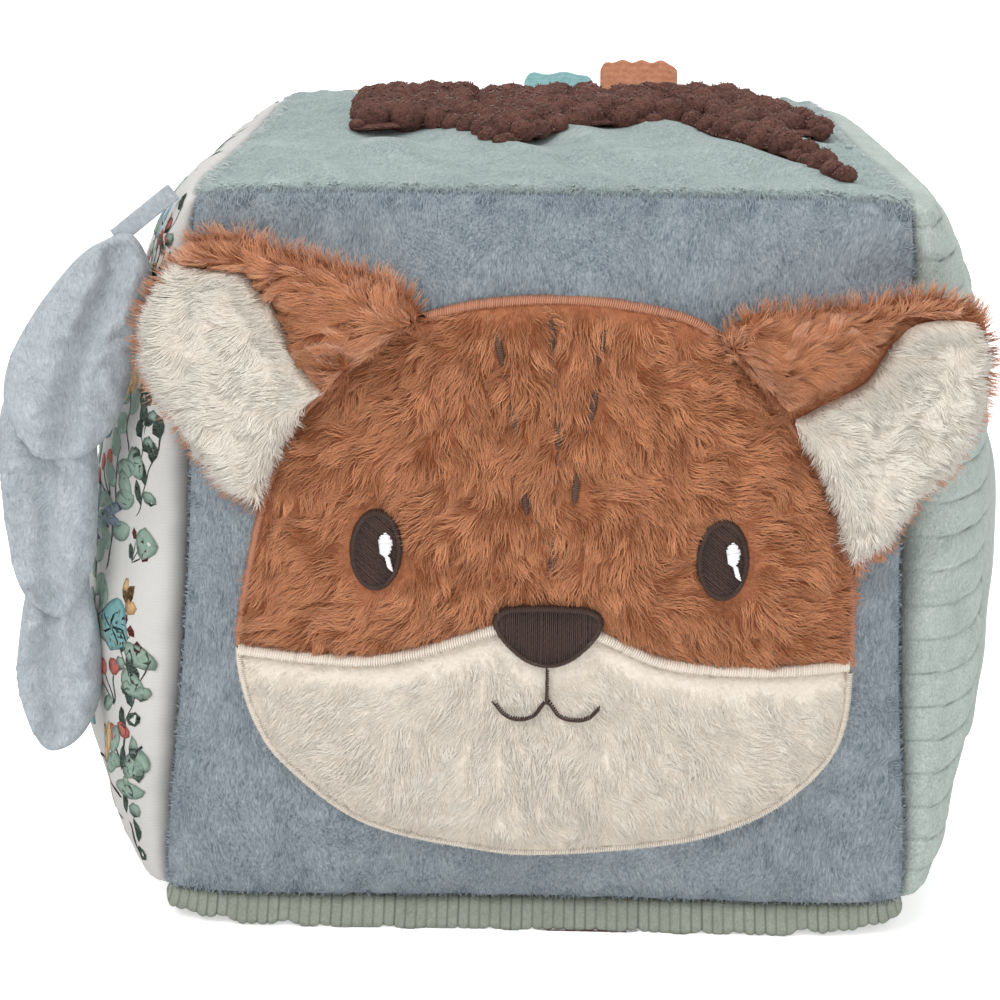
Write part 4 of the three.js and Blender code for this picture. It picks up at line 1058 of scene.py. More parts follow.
# %% Where the eyes, nose and dashes keep the pile short
EYES = np.array([(0.0012 - 0.03475, 0.0043), (0.0012 + 0.03475, 0.0034)])
EYE_HALF = np.array([0.0049, 0.00795])
nose_shares = [
    (0, -1), (0.2, -0.9), (0.38, -0.62), (0.49, -0.32), (0.48, -0.13), (0.38, -0.02), (0.2, 0.01), (0, 0.02),
    (-0.2, 0.01), (-0.38, -0.02), (-0.48, -0.13), (-0.49, -0.32), (-0.38, -0.62), (-0.2, -0.9),
]  # fmt: skip
NOSE_AT = np.array([0.0012, -0.0071])
nose_line = smooth_closed(np.array(nose_shares) * [0.0206, 0.0113] + NOSE_AT, 90)
dash_rows = [
    (-0.16, 0.82, -12), (-0.11, 0.6, -10), (-0.07, 0.32, -6), (0.165, 0.84, 12), (0.14, 0.64, 10),
    (0.09, 0.36, 6), (0.005, 0.88, 0), (0.03, 0.55, 0), (0.02, 0.12, 0),
]  # fmt: skip
dash_places = [np.array([a, b]) * HEAD_HALF + HEAD_AT for a, b, _ in dash_rows]


def ellipse(at, half, count=48):
    t = np.linspace(0, 2 * math.pi, count, endpoint=False)
    return at + np.stack([np.cos(t), np.sin(t)], 1) * half


def clear_of(flat, shapes, margin):
    """False inside any of the shapes or within margin of one."""
    keep = np.ones(len(flat), bool)
    for shape in shapes:
        near = np.abs(flat - shape.mean(0)).max(1) < np.ptp(shape, 0).max() + margin
        spot = flat[near]
        if len(spot):
            keep[near] &= ~(inside(shape, spot) | (line_distance(shape, spot) < margin))
    return keep


eye_lines = [ellipse(at, EYE_HALF) for at in EYES]


def comb_of_face(flat):
    """The way the pile lies on the brown face: down the middle, out to both sides, mussed everywhere."""
    x, z = flat.T / HEAD_HALF[0]
    left = np.clip(-x * 2.2 - 0.15, 0, 1)
    right = np.clip(x * 2.2 - 0.15, 0, 1)
    angle = -90 - left * 52 + right * 70
    low = np.clip((-0.05 - z) * 3, 0, 1)
    angle = angle + low * np.where(x < 0, 10, -15)
    muss = 34 * gentle_waves(flat, 0.021, 3) + 24 * gentle_waves(flat, 0.008, 4)
    calm = np.clip(line_distance(nose_line, flat) / 0.008, 0.15, 1)
    angle = np.radians(angle + muss * calm)
    return np.stack([np.cos(angle), np.sin(angle)], 1)


def pile_on_head(name, outline, count, seed, comb_rule, keep, reach_rule, values, finish, **words):
    flat = sprinkle(outline, count, seed)
    flat = flat[keep(flat)]
    lay, across, up = panel_normals(FRONT, flat)
    gap = line_distance(outline, flat)
    roots = on_front(flat, face_height(gap, flat) - 0.0002)
    ways = comb_rule(flat)
    comb = across * ways[:, :1] + up * ways[:, 1:]
    reach = reach_rule(flat, gap)
    return grow_pile(name, roots, lay, comb, reach, values, finish, seed=seed, **words)


fox_hair = hair_material("fox_fur", "9a5836", "f0a97c", 0.8, 1.1, 0.3)
cream_hair = hair_material("cream_fur", "f2e7d9", "fff9ef", 0.6, 0.3, 0.3, soft=0.1)
FACE_HAIR = {"Hair Width": 0.00036, "Hair Length": 0.0050, "Arch": 0.09, "Crimp": 0.1}
dash_line = [ellipse(at, np.array([0.0008, 0.0030]), 16) for at in dash_places]


def face_reach(flat, gap):
    """Short beside the borders, the eyes, the nose and the dashes, longer in the open."""
    near = np.minimum(gap, line_distance(nose_line, flat))
    for line in eye_lines:
        near = np.minimum(near, line_distance(line, flat))
    for line in dash_line:
        near = np.minimum(near, 0.0012 + 3 * line_distance(line, flat))
    return 0.36 + 0.64 * np.clip((near - 0.0004) / 0.004, 0, 1) + 0.1 * gentle_waves(flat, 0.012, 8)


face_keep_out = eye_lines + [nose_line]


def face_keep(flat):
    return clear_of(flat, face_keep_out, 0.0002) & clear_of(flat, dash_line, 0.0)


def side_part(low, high):
    return lambda flat: face_keep(flat) & (flat[:, 0] >= low) & (flat[:, 0] < high)


for part, (low, high) in enumerate([(-0.1, -0.021), (-0.021, 0.021), (0.021, 0.1)]):
    name = ("face_fur_left", "face_fur_middle", "face_fur_right")[part]
    pile = pile_on_head(
        name, face_line, 35000, 70 + part, comb_of_face, side_part(low, high), face_reach,
        FACE_HAIR, fox_hair, lock=0.0030, gather=0.34, lift=0.26,
    )  # fmt: skip
    settle(pile, "cube", "fox_fur", [])

# %% The muzzle's pile


def comb_of_muzzle(flat):
    x = flat[:, 0] / HEAD_HALF[0]
    angle = np.radians(-90 + 48 * np.clip(x * 1.6, -1, 1))
    angle += np.radians(20 * gentle_waves(flat, 0.018, 13) + 16 * gentle_waves(flat, 0.007, 14))
    return np.stack([np.cos(angle), np.sin(angle)], 1)


def muzzle_reach(flat, gap):
    near = np.minimum(gap, line_distance(nose_line, flat))
    return 0.3 + 0.7 * np.clip((near - 0.0005) / 0.006, 0, 1)


for part, side in enumerate((-1, 1)):
    muzzle_pile = pile_on_head(
        f"muzzle_pile_{('left', 'right')[part]}", chin_line, 20000, 81 + part, comb_of_muzzle,
        lambda flat, side=side: clear_of(flat, [nose_line], 0.0002) & (flat[:, 0] * side > 0), muzzle_reach,
        {**FACE_HAIR, "Hair Length": 0.0042, "Hair Width": 0.0003}, cream_hair,
        lock=0.0034, gather=0.2, lift=0.13,
    )  # fmt: skip
    settle(muzzle_pile, "cube", "cream_fur", [])

# %% [markdown]
# ## Embroidery
# Borders, eyes, nose, mouth and dashes are thread. Each stitch is a short path that dives into the cloth at
# both ends, and one Geometry Nodes tree turns all the paths of a motif into round threads. The satin borders
# are stitches set square to a line, and the filled motifs are rows of short stitches that change places.

# %% The tree that turns paths into thread
thread_stitches, given, result = start_tree(
    "thread_stitches",
    [
        ("Thread Width", "Float", 0.0004),
        ("Thread Sides", "Int", 5),
        ("Finish", "Material", None),
    ],
)
tree = thread_stitches
paths = add_node(tree, "GeometryNodeMeshToCurve", {0: given["Geometry"]})
radius = combine(tree, "MULTIPLY", given["Thread Width"], 0.5)
values = {"Resolution": given["Thread Sides"], "Radius": radius}
section = add_node(tree, "GeometryNodeCurvePrimitiveCircle", values)
values = {"Curve": paths.outputs[0], "Profile Curve": section.outputs[0], "Fill Caps": True}
end_tree(tree, given, result, add_node(tree, "GeometryNodeCurveToMesh", values).outputs[0])


def sew(name, paths, width, finish, seed=1, sides=5):
    """paths is a list of arrays of points. The ends carry painted shade, where each thread sinks into the
    cloth, and each thread has its own tone.
    """
    dice = np.random.default_rng(seed)
    points, edges, along, shade = [], [], [], []
    for path in paths:
        start = len(points)
        count = len(path)
        points += list(path)
        edges += [(start + k, start + k + 1) for k in range(count - 1)]
        # Painted shade: along falls towards both ends of a thread, where it dives into the cloth
        along += list(0.25 + 0.75 * np.sin(np.linspace(0.12, math.pi - 0.12, count)))
        shade += [0.5 + dice.normal(0, 0.14)] * count
    mesh = bpy.data.meshes.new(name)
    mesh.from_pydata([tuple(p) for p in points], edges, [])
    piece = bpy.data.objects.new(name, mesh)
    bpy.context.scene.collection.objects.link(piece)
    store(piece, "along", along)
    store(piece, "shade", np.clip(shade, 0, 1))
    grow(piece, thread_stitches, {"Thread Width": width, "Thread Sides": sides, "Finish": finish})
    return piece


def satin_paths(line, width, pitch, place, low, high, closed=True, seed=2, slant=0.0, taper=False):
    """Stitches square to a flat line. They rise from low at both edges to high in the middle."""
    dice = np.random.default_rng(seed)
    line = spaced(line, pitch, closed)
    ahead = np.roll(line, -1, 0) - np.roll(line, 1, 0)
    if not closed:
        ahead[0], ahead[-1] = line[1] - line[0], line[-1] - line[-2]
    ahead = ahead / np.linalg.norm(ahead, axis=1)[:, None]
    normal = np.stack([-ahead[:, 1], ahead[:, 0]], 1)
    steps = np.array([-0.5, -0.4, -0.15, 0.15, 0.4, 0.5])
    paths = []
    for k, (at, way, run) in enumerate(zip(line, normal, ahead)):
        share = math.sin(math.pi * (k + 0.5) / len(line)) ** 0.6 if taper else 1.0
        spread = width * share * dice.uniform(0.9, 1.1)
        flat = at + np.outer(steps * spread, way) + np.outer(steps * spread * slant, run)
        arc = low + (high - low) * np.sqrt(np.clip(1 - (2 * steps) ** 2, 0, 1)) * (0.5 + 0.5 * share)
        paths.append(place(flat, arc))
    return paths


def fill_paths(outline, angle, pitch, stitch, place, low, swell, dip=0.00018, seed=3):
    """Rows of short stitches inside an outline, which dip where one stitch ends and the next begins."""
    dice = np.random.default_rng(seed)
    turn = np.array([[math.cos(angle), math.sin(angle)], [-math.sin(angle), math.cos(angle)]])
    local = outline @ turn.T
    paths = []
    for row, y in enumerate(np.arange(local[:, 1].min() + pitch / 2, local[:, 1].max(), pitch)):
        x = np.arange(local[:, 0].min(), local[:, 0].max(), stitch / 4)
        y_row = y + dice.uniform(-0.12, 0.12) * pitch
        flat = np.stack([x, np.full(len(x), y_row)], 1) @ turn
        held = inside(outline, flat)
        if held.sum() < 3:
            continue
        flat = flat[held]
        gap = line_distance(outline, flat)
        shift = (0.0, 0.37, 0.71)[row % 3] + dice.uniform(-0.08, 0.08)
        phase = np.abs(np.mod(np.arange(len(flat)) / 4 + shift, 1.0) - 0.5) * 2
        rise = low + swell * dome(gap, 0.0022) - dip * np.clip(phase * 3 - 2, 0, 1)
        paths.append(place(flat, rise))
    return paths


print("thread tools ready")

# %% Borders round the head, the chin and along the muzzle
brown_thread = thread_material("brown_thread", "653824", "bd8468")
cream_thread = thread_material("cream_thread", "a59683", "e6dccf")
dark_thread = thread_material("dark_thread", "110905", "44312a", 0.6)
dash_thread = thread_material("dash_thread", "2a1a13", "65493b", 0.55)
white_thread = thread_material("white_thread", "c9c8cf", "ffffff", 0.4)


def pulled(line, gap):
    """The line moved in towards the middle of the head."""
    way = HEAD_AT - line
    return line + way / np.linalg.norm(way, axis=1)[:, None] * gap


rim_paths = satin_paths(
    pulled(upper_arc, 0.0006), 0.0017, 0.00046, on_front, 0.0004, 0.0022, False, seed=5, slant=0.2
)
upper_border = sew("head_border_stitches", rim_paths, 0.00046, brown_thread)
settle(upper_border, "cube", "brown_thread", ["head_border"])
rim_paths = satin_paths(
    pulled(lower_arc, 0.0006), 0.0014, 0.00046, on_front, 0.0004, 0.0020, False, seed=6, slant=0.2
)
chin_border = sew("chin_border_stitches", rim_paths, 0.00042, cream_thread)
settle(chin_border, "cube", "cream_thread", ["chin_border"])
muzzle_left = crossing[crossing[:, 0] < nose_line[:, 0].min() + 0.0012]
muzzle_right = crossing[crossing[:, 0] > nose_line[:, 0].max() - 0.0012]
muzzle_paths = []
for part, line in enumerate((muzzle_left, muzzle_right)):
    muzzle_paths += satin_paths(
        line, 0.0021, 0.0005, on_front, 0.0012, 0.0036, False, seed=7 + part, slant=0.15
    )
muzzle_border = sew("muzzle_border_stitches", muzzle_paths, 0.00052, cream_thread)
settle(muzzle_border, "cube", "cream_thread", ["muzzle_border"])
print("borders", triangles(upper_border), triangles(chin_border), triangles(muzzle_border))

# %% Eyes with their glints
GLINT_SHIFT = np.array([0.0019, 0.0016])
for side, at in zip(("left", "right"), EYES):
    line = ellipse(at, EYE_HALF - 0.0003, 60)
    paths = fill_paths(line, math.radians(-40), 0.00044, 0.0014, on_front, 0.0031, 0.0009, 0.00034, seed=11)
    paths += satin_paths(line, 0.0012, 0.00042, on_front, 0.0026, 0.0038, True, seed=12, slant=0.3)
    eye = sew(f"eye_{side}_stitches", paths, 0.00046, dark_thread, seed=13, sides=4)
    settle(eye, "cube", "dark_thread", [f"eye_{side}"])
    spot = at + GLINT_SHIFT
    shape = ellipse(spot, np.array([0.0015, 0.0024]), 30)
    paths = fill_paths(shape, math.radians(8), 0.0003, 0.0012, on_front, 0.0045, 0.0003, 0.0, seed=14)
    tail = np.array([spot + [0.0004, -0.0022], spot + [0.0008, -0.0036], spot + [0.0011, -0.0048]])
    paths += satin_paths(tail, 0.0008, 0.0003, on_front, 0.0046, 0.0049, False, seed=15, slant=1.4)
    glint = sew(f"eye_glint_{side}_stitches", paths, 0.00034, white_thread, seed=16, sides=4)
    settle(glint, "cube", "white_thread", [f"eye_glint_{side}"])
    print("eye", side, triangles(eye), triangles(glint))

# %% Nose, mouth and the dashes on the forehead
nose_paths = fill_paths(
    nose_line, math.radians(90), 0.0004, 0.0014, on_front, 0.0036, 0.0012, 0.00025, seed=21
)
nose_paths += satin_paths(nose_line, 0.0013, 0.00036, on_front, 0.0030, 0.0044, True, seed=22, slant=0.3)
nose = sew("nose_stitches", nose_paths, 0.00042, dark_thread, seed=23, sides=4)
settle(nose, "cube", "dark_thread", ["nose"])
MOUTH_AT = np.array([0.0012, -0.0191])
smile_shares = [
    (-0.5, -0.7), (-0.4, -0.92), (-0.26, -1), (-0.12, -0.92), (0, -0.66), (0.12, -0.92), (0.26, -1),
    (0.4, -0.96), (0.5, -0.78),
]  # fmt: skip
smile_line = smooth_open(np.array(smile_shares) * [0.0207, 0.0112] + MOUTH_AT, 80)
philtrum = np.array([MOUTH_AT + [0, -0.0005], MOUTH_AT + [0, -0.66 * 0.0112]])
mouth_paths = satin_paths(smile_line, 0.0006, 0.0005, on_front, 0.0028, 0.0038, False, seed=24, slant=1.6)
mouth_paths += satin_paths(philtrum, 0.0005, 0.0005, on_front, 0.0028, 0.0038, False, seed=25, slant=1.6)
mouth = sew("mouth_stitches", mouth_paths, 0.00034, dark_thread, seed=26, sides=4)
settle(mouth, "cube", "dark_thread", ["mouth_stitch"])
for k, ((_, _, tilt), at) in enumerate(zip(dash_rows, dash_places)):
    way = np.array([math.sin(math.radians(tilt)), math.cos(math.radians(tilt))])
    run = np.array([at - way * 0.0033, at + way * 0.0033])
    paths = satin_paths(
        run, 0.0015, 0.00045, on_front, 0.0018, 0.0033, False, seed=30 + k, slant=0.1, taper=True
    )
    dash = sew(f"forehead_dash_{k + 1}", paths, 0.00044, dash_thread, seed=40 + k)
    settle(dash, "cube", "dark_thread", [f"forehead_stitch_{k + 1}"])
joins = []
for first, second in ((0, 1), (1, 2), (2, 8), (3, 4), (4, 5), (5, 8), (6, 7), (7, 8)):
    line = spaced(np.array([dash_places[first], dash_places[second]]), 0.0012, False)
    height = 0.0024 + 0.0006 * np.sin(np.arange(len(line)) * 1.9)
    joins.append(on_front(line, height))
dash_joins = sew("dash_joins", joins, 0.00034, dash_thread, seed=50)
settle(dash_joins, "cube", "dark_thread", [])
print("nose", triangles(nose), "mouth", triangles(mouth))

# %% [markdown]
# ## Loose pile at the seams
# Where two plush covers meet, their fibres stand over the seam and hide it. Short hairs in a narrow strip
# along each edge do the same here, and soften the cube's outline.

# %% Short fibres along the edges of the front and the top


def seam_fuzz(name, panel, edges, count, seed, finish, slot):
    """edges are (u, v) signs of the sides that get a strip; the fibres point out over the seam."""
    dice = np.random.default_rng(seed)
    near = 1 - 0.06 * dice.uniform(0, 1, count) ** 2.4
    run = dice.uniform(-0.985, 0.985, count)
    signs = np.array(edges)[dice.integers(len(edges), size=count)]
    u = np.where(signs[:, 0] != 0, signs[:, 0] * near, run)
    v = np.where(signs[:, 1] != 0, signs[:, 1] * near, run)
    step = 0.004

    def skin(u, v):
        return panel_points(panel, np.clip(u, -1, 1), np.clip(v, -1, 1), 0.0, round_edge=EDGE_RADIUS)

    across = unit(skin(u + step, v) - skin(u - step, v))
    up = unit(skin(u, v + step) - skin(u, v - step))
    lay = unit(np.cross(across, up))
    comb = across * signs[:, :1] + up * signs[:, 1:] + dice.normal(0, 0.3, (count, 3))
    values = {"Hair Width": 0.0003, "Hair Length": 0.0019, "Arch": 0.12, "Crimp": 0.06, "Steps": 2}
    roots = skin(u, v) - lay * 0.0002
    reach = dice.uniform(0.7, 1.1, count)
    pile = grow_pile(name, roots, lay, comb, reach, values, finish, seed, lock=0.0008, gather=0.4, lift=0.35)
    return settle(pile, "cube", slot, [])


blue_fuzz = hair_material("blue_fuzz", "7c8c99", "a7b3bc", 0.7, 0.5, 0.3)
mint_fuzz = hair_material("mint_fuzz", "9dacaa", "bac6c4", 0.7, 0.5, 0.3)
front_edges = [(0, 1), (0, 1), (-1, 0), (1, 0), (0, -1)]
seam_fuzz("front_seam_fuzz", FRONT, front_edges, 7500, 301, blue_fuzz, "blue_plush")
seam_fuzz("top_seam_fuzz", TOP, [(0, -1), (0, -1), (-1, 0), (1, 0)], 6000, 302, mint_fuzz, "mint_plush")

# %% [markdown]
# ## Ears
# Each ear is two cloths sewn together: brown pile behind, which also folds over the front along the top,
# and cream pile inside. The pads are cut to the ear's outlines, and hair grows on them as on the face, with
# the hair near a rim combed out over it so that the outline is soft.

# %% Ear outlines, in shares of the ear's size about its root
EAR_SIZE = 0.040
ears = {
    "left": {
        "at": Vector((-0.04301, -0.07923, 0.11816)),
        "outline": [
            (0.5, 0.42), (0.24, 0.55), (-0.22, 0.67), (-0.44, 0.74), (-0.64, 0.73), (-0.74, 0.62),
            (-0.91, 0.38), (-0.93, 0.22), (-0.9, 0.02), (-0.68, -0.3), (-0.51, -0.56), (-0.41, -0.7),
            (-0.33, -0.42), (-0.29, -0.27), (-0.17, -0.11), (-0.03, 0.02), (0.17, 0.22), (0.36, 0.35),
        ],
        "fold": [
            (0.46, 0.41), (0.24, 0.5), (-0.22, 0.63), (-0.44, 0.7), (-0.62, 0.7), (-0.7, 0.62), (-0.52, 0.6),
            (-0.36, 0.56), (-0.25, 0.42), (-0.16, 0.25), (-0.08, 0.07), (0.13, 0.24),
        ],
        "lining": [
            (-0.28, 0.38), (-0.42, 0.54), (-0.58, 0.55), (-0.71, 0.55), (-0.84, 0.36), (-0.86, 0.22),
            (-0.84, 0.04), (-0.64, -0.27), (-0.49, -0.5), (-0.42, -0.6), (-0.37, -0.4), (-0.31, -0.25),
            (-0.2, -0.09), (-0.14, 0.04), (-0.2, 0.22),
        ],
        "away": (-0.8, -0.35),
        "ridge": (-0.9, 0.25),
    },
    "right": {
        "at": Vector((0.04795, -0.07894, 0.11641)),
        "outline": [
            (0.46, -0.89), (0.54, -0.68), (0.65, -0.5), (0.81, -0.32), (0.92, -0.12), (0.96, 0.02),
            (0.98, 0.18), (0.95, 0.38), (0.9, 0.47), (0.82, 0.51), (0.62, 0.54), (0.34, 0.49), (0.1, 0.46),
            (-0.16, 0.44), (-0.38, 0.38), (-0.2, 0.21), (-0.02, 0.02), (0.12, -0.13), (0.26, -0.32),
            (0.35, -0.55),
        ],
        "fold": [
            (0.3, 0.18), (0.42, 0.36), (0.56, 0.45), (0.8, 0.47), (0.62, 0.5), (0.34, 0.46), (0.1, 0.43),
            (-0.16, 0.41), (-0.34, 0.37), (-0.17, 0.21), (0, 0.05), (0.12, 0.08),
        ],
        "lining": [
            (0.44, -0.78), (0.52, -0.62), (0.62, -0.46), (0.77, -0.29), (0.88, -0.1), (0.91, 0.18),
            (0.88, 0.34), (0.8, 0.4), (0.6, 0.38), (0.48, 0.26), (0.38, 0.1), (0.17, -0.03), (0.16, -0.13),
            (0.29, -0.32), (0.37, -0.54),
        ],
        "away": (0.75, -0.45),
        "ridge": (0.95, 0.12),
    },
}  # fmt: skip


def pile_on(name, body, slot, surface, outline, count, seed, comb_rule, reach_rule, values, finish, **words):
    """Hair on a flat-cut pad: surface(flat) is its outer skin, and small steps on it give the normals."""
    flat = sprinkle(outline, count, seed)
    step = 0.0004
    across = surface(flat + [step, 0]) - surface(flat - [step, 0])
    up = surface(flat + [0, step]) - surface(flat - [0, step])
    lay = unit(np.cross(across, up))
    gap = line_distance(outline, flat)
    ways = comb_rule(flat, gap)
    comb = unit(across) * ways[:, :1] + unit(up) * ways[:, 1:]
    roots = surface(flat) - lay * 0.0003
    reach = reach_rule(flat, gap)
    kept = reach > 0
    roots, lay, comb, reach = roots[kept], lay[kept], comb[kept], reach[kept]
    pile = grow_pile(name, roots, lay, comb, reach, values, finish, seed=seed, **words)
    return settle(pile, body, slot, [])


def rim_way(outline, flat):
    """Directions from the nearest place inside towards the rim."""
    step = 0.0006
    right = line_distance(outline, flat + [step, 0]) - line_distance(outline, flat - [step, 0])
    up = line_distance(outline, flat + [0, step]) - line_distance(outline, flat - [0, step])
    way = -np.stack([right, up], 1)
    return way / np.maximum(np.linalg.norm(way, axis=1), 1e-9)[:, None]


def ear_comb(outline, away, muss, seed, rim_reach=0.005, rim_share=0.75, calm=None):
    """Combed one way, mussed a little, and turned outwards near the rim, but not beside the line calm."""
    main = np.array(away) / np.hypot(*away)

    def rule(flat, gap):
        angle = gentle_waves(flat, 0.014, seed) + 0.7 * gentle_waves(flat, 0.006, seed + 1)
        c, s = np.cos(np.radians(muss) * angle), np.sin(np.radians(muss) * angle)
        turned = np.stack([main[0] * c - main[1] * s, main[0] * s + main[1] * c], 1)
        share = rim_share * np.clip(1 - gap / rim_reach, 0, 1)[:, None]
        if calm is not None:
            share *= np.clip(line_distance(calm, flat) / 0.005 - 0.8, 0, 1)[:, None]
        return turned * (1 - share) + rim_way(outline, flat) * share

    return rule


EAR_HAIR = {"Hair Width": 0.00034, "Hair Length": 0.0056, "Arch": 0.1, "Crimp": 0.1}


def sewn_to_head(line, root):
    """The part of an ear's outline that lies beside the head is drawn up to the head's border."""
    shift = np.array([root[0], root[2] - MIDDLE])
    spot = line + shift
    rim = pulled(head_line, 0.0006)[:, None] - spot[None]
    nearest = rim[np.linalg.norm(rim, axis=2).argmin(0), np.arange(len(spot))]
    gap = np.linalg.norm(nearest, axis=1)
    return line + nearest * np.clip((0.0075 - gap) / 0.002, 0, 1)[:, None]


ear_pads = []
for side, facts in ears.items():
    body, root = f"ear_{side}", np.array(facts["at"])

    def in_ear(flat, rise, root=root):
        rise = np.broadcast_to(np.asarray(rise, float), (len(flat),))
        return root + np.stack([flat[:, 0], -rise, flat[:, 1]], 1)

    outline = sewn_to_head(smooth_closed(np.array(facts["outline"]) * EAR_SIZE, 120), root)
    fold = sewn_to_head(smooth_closed(np.array(facts["fold"]) * EAR_SIZE, 90), root)
    lining = smooth_closed(np.array(facts["lining"]) * EAR_SIZE, 90)
    lining = sewn_to_head(lining.mean(0) + (lining - lining.mean(0)) * 1.07, root)

    def back_rise(gap, flat):
        return 0.0014 + 0.0022 * dome(gap, 0.008)

    def fold_rise(gap, flat):
        return 0.0044 + 0.0052 * dome(gap, 0.006)

    def lining_rise(gap, flat, fold=fold):
        lip = np.exp(-((line_distance(fold, flat) / 0.0035) ** 2))
        return 0.0036 + 0.0036 * dome(gap, 0.004) - 0.0022 * dome(gap, 0.016) ** 2 + 0.0020 * lip

    back_pad = make_pad(f"{body}_cloth", outline, 0.0019, in_ear, back_rise, level(0.0), fur_ground)
    settle(back_pad, body, "fox_fur", [f"{body}_back"])
    fold_pad = make_pad(f"{body}_fold", fold, 0.0019, in_ear, fold_rise, level(0.0030), fur_ground)
    settle(fold_pad, body, "fox_fur", [])
    lining_pad = make_pad(
        f"{body}_lining_cloth", lining, 0.0019, in_ear, lining_rise, level(0.0030), cream_ground
    )
    settle(lining_pad, body, "cream_fur", [f"{body}_lining"])
    ear_pads += [back_pad, fold_pad, lining_pad]

    def skin(rule, line):
        return lambda flat, rule=rule, line=line: in_ear(flat, rule(line_distance(line, flat), flat))

    def full(flat, gap):
        return 0.62 + 0.38 * np.clip(gap / 0.004, 0, 1)

    def rim_only(flat, gap, lining=lining, fold=fold):
        return np.where((gap < 0.009) & ~inside(lining, flat) & ~inside(fold, flat), 0.75, 0.0)

    pile_on(
        f"{body}_back_pile", body, "fox_fur", skin(back_rise, outline), outline, 12000, 90,
        ear_comb(outline, facts["ridge"], 35, 21), rim_only, EAR_HAIR, fox_hair, gather=0.3, lift=0.24,
    )  # fmt: skip
    pile_on(
        f"{body}_fold_pile", body, "fox_fur", skin(fold_rise, fold), fold, 7600, 91,
        ear_comb(fold, facts["ridge"], 35, 23, 0.004, 0.55), full, EAR_HAIR, fox_hair, gather=0.4, lift=0.28,
    )  # fmt: skip
    pile_on(
        f"{body}_lining_pile", body, "cream_fur", skin(lining_rise, lining), lining, 9500, 92,
        ear_comb(lining, facts["away"], 24, 25, calm=fold), full,
        {**EAR_HAIR, "Hair Width": 0.00034, "Steps": 2}, cream_hair, lock=0.004, gather=0.2, lift=0.14,
    )  # fmt: skip

# %% [markdown]
# ## The bobbled branch
# The branch is cut from a chenille with raised bobbles in staggered rows. The bobbles are one small ball in
# three shapes, which a Geometry Nodes tree stands on every place of a loose lattice. Fuzz grows on them.

# %% The tree that stands bobbles on their places
bobbles, given, result = start_tree(
    "bobbles",
    [
        ("Bobble Size", "Float", 0.0029),
        ("Lumps", "Float", 0.22),
        ("Seed", "Int", 1),
        ("Finish", "Material", None),
    ],
)
tree = bobbles
BOBBLE_KINDS = 3
kinds = add_node(tree, "GeometryNodeJoinGeometry")
for kind_number in range(BOBBLE_KINDS):
    ball = add_node(tree, "GeometryNodeMeshIcoSphere", {"Radius": given["Bobble Size"], "Subdivisions": 2})
    spot = add_node(tree, "GeometryNodeInputPosition").outputs[0]
    lump_place = vector_of(tree, "ADD", spot, (kind_number * 0.013, 0.004, 0.0))
    lump = about_zero(tree, noise(tree, lump_place, 480.0, 2.0, 0.6), given["Lumps"])
    grown = scaled(tree, spot, combine(tree, "MULTIPLY_ADD", lump, 2.0, 1.0))
    squat = vector_of(tree, "MULTIPLY", grown, (1.0, 1.0, 0.8))
    shaped = add_node(tree, "GeometryNodeSetPosition", {"Geometry": ball.outputs[0], "Position": squat})
    alone = add_node(tree, "GeometryNodeGeometryToInstance", {0: shaped.outputs[0]})
    tree.links.new(alone.outputs[0], kinds.inputs[0])
values = {"Seed": given["Seed"], 0: (-0.3, -0.3, -3.1), 1: (0.3, 0.3, 3.1)}
turn = add_node(tree, "FunctionNodeRandomValue", values, data_type="FLOAT_VECTOR")
stand_on_points(tree, given, result, kinds, BOBBLE_KINDS, turn.outputs[0])

# %% The branch: ground cloth, bobbles and fuzz
branch_shares = [
    (-0.4, -0.1), (-0.32, -0.09), (-0.24, -0.07), (-0.17, -0.19), (-0.12, -0.29), (-0.07, -0.25),
    (0.04, -0.08), (0.12, -0.02), (0.2, 0.01), (0.27, 0.02), (0.32, -0.12), (0.37, -0.19), (0.42, -0.26),
    (0.47, -0.38), (0.51, -0.49), (0.54, -0.53), (0.56, -0.5), (0.54, -0.39), (0.49, -0.25), (0.47, -0.12),
    (0.5, -0.05), (0.56, -0.04), (0.58, 0.01), (0.54, 0.14), (0.48, 0.29), (0.4, 0.42), (0.3, 0.46),
    (0.18, 0.41), (0, 0.37), (-0.18, 0.36), (-0.32, 0.39), (-0.41, 0.36), (-0.42, 0.21), (-0.41, 0.04),
]  # fmt: skip
branch_line = smooth_closed(np.array(branch_shares) * [0.112, 0.118], 200)
on_top = on_panel(TOP)
CHENILLE_NAP = (1500.0, 1500.0, 1500.0)
chenille = pile_material("popcorn_chenille", "33201d", "7d564d", CHENILLE_NAP, 190.0, 0.8, 0.0007, 0.12)
branch_cloth = make_pad(
    "branch_cloth", branch_line, 0.0028, on_top, lambda g, f: 0.0004 + 0.0008 * dome(g, 0.003),
    level(0.0002), chenille,
)  # fmt: skip
settle(branch_cloth, "cube", "popcorn_chenille", ["popcorn_branch"])
BOBBLE_PITCH, BOBBLE_SIZE = 0.0076, 0.0042


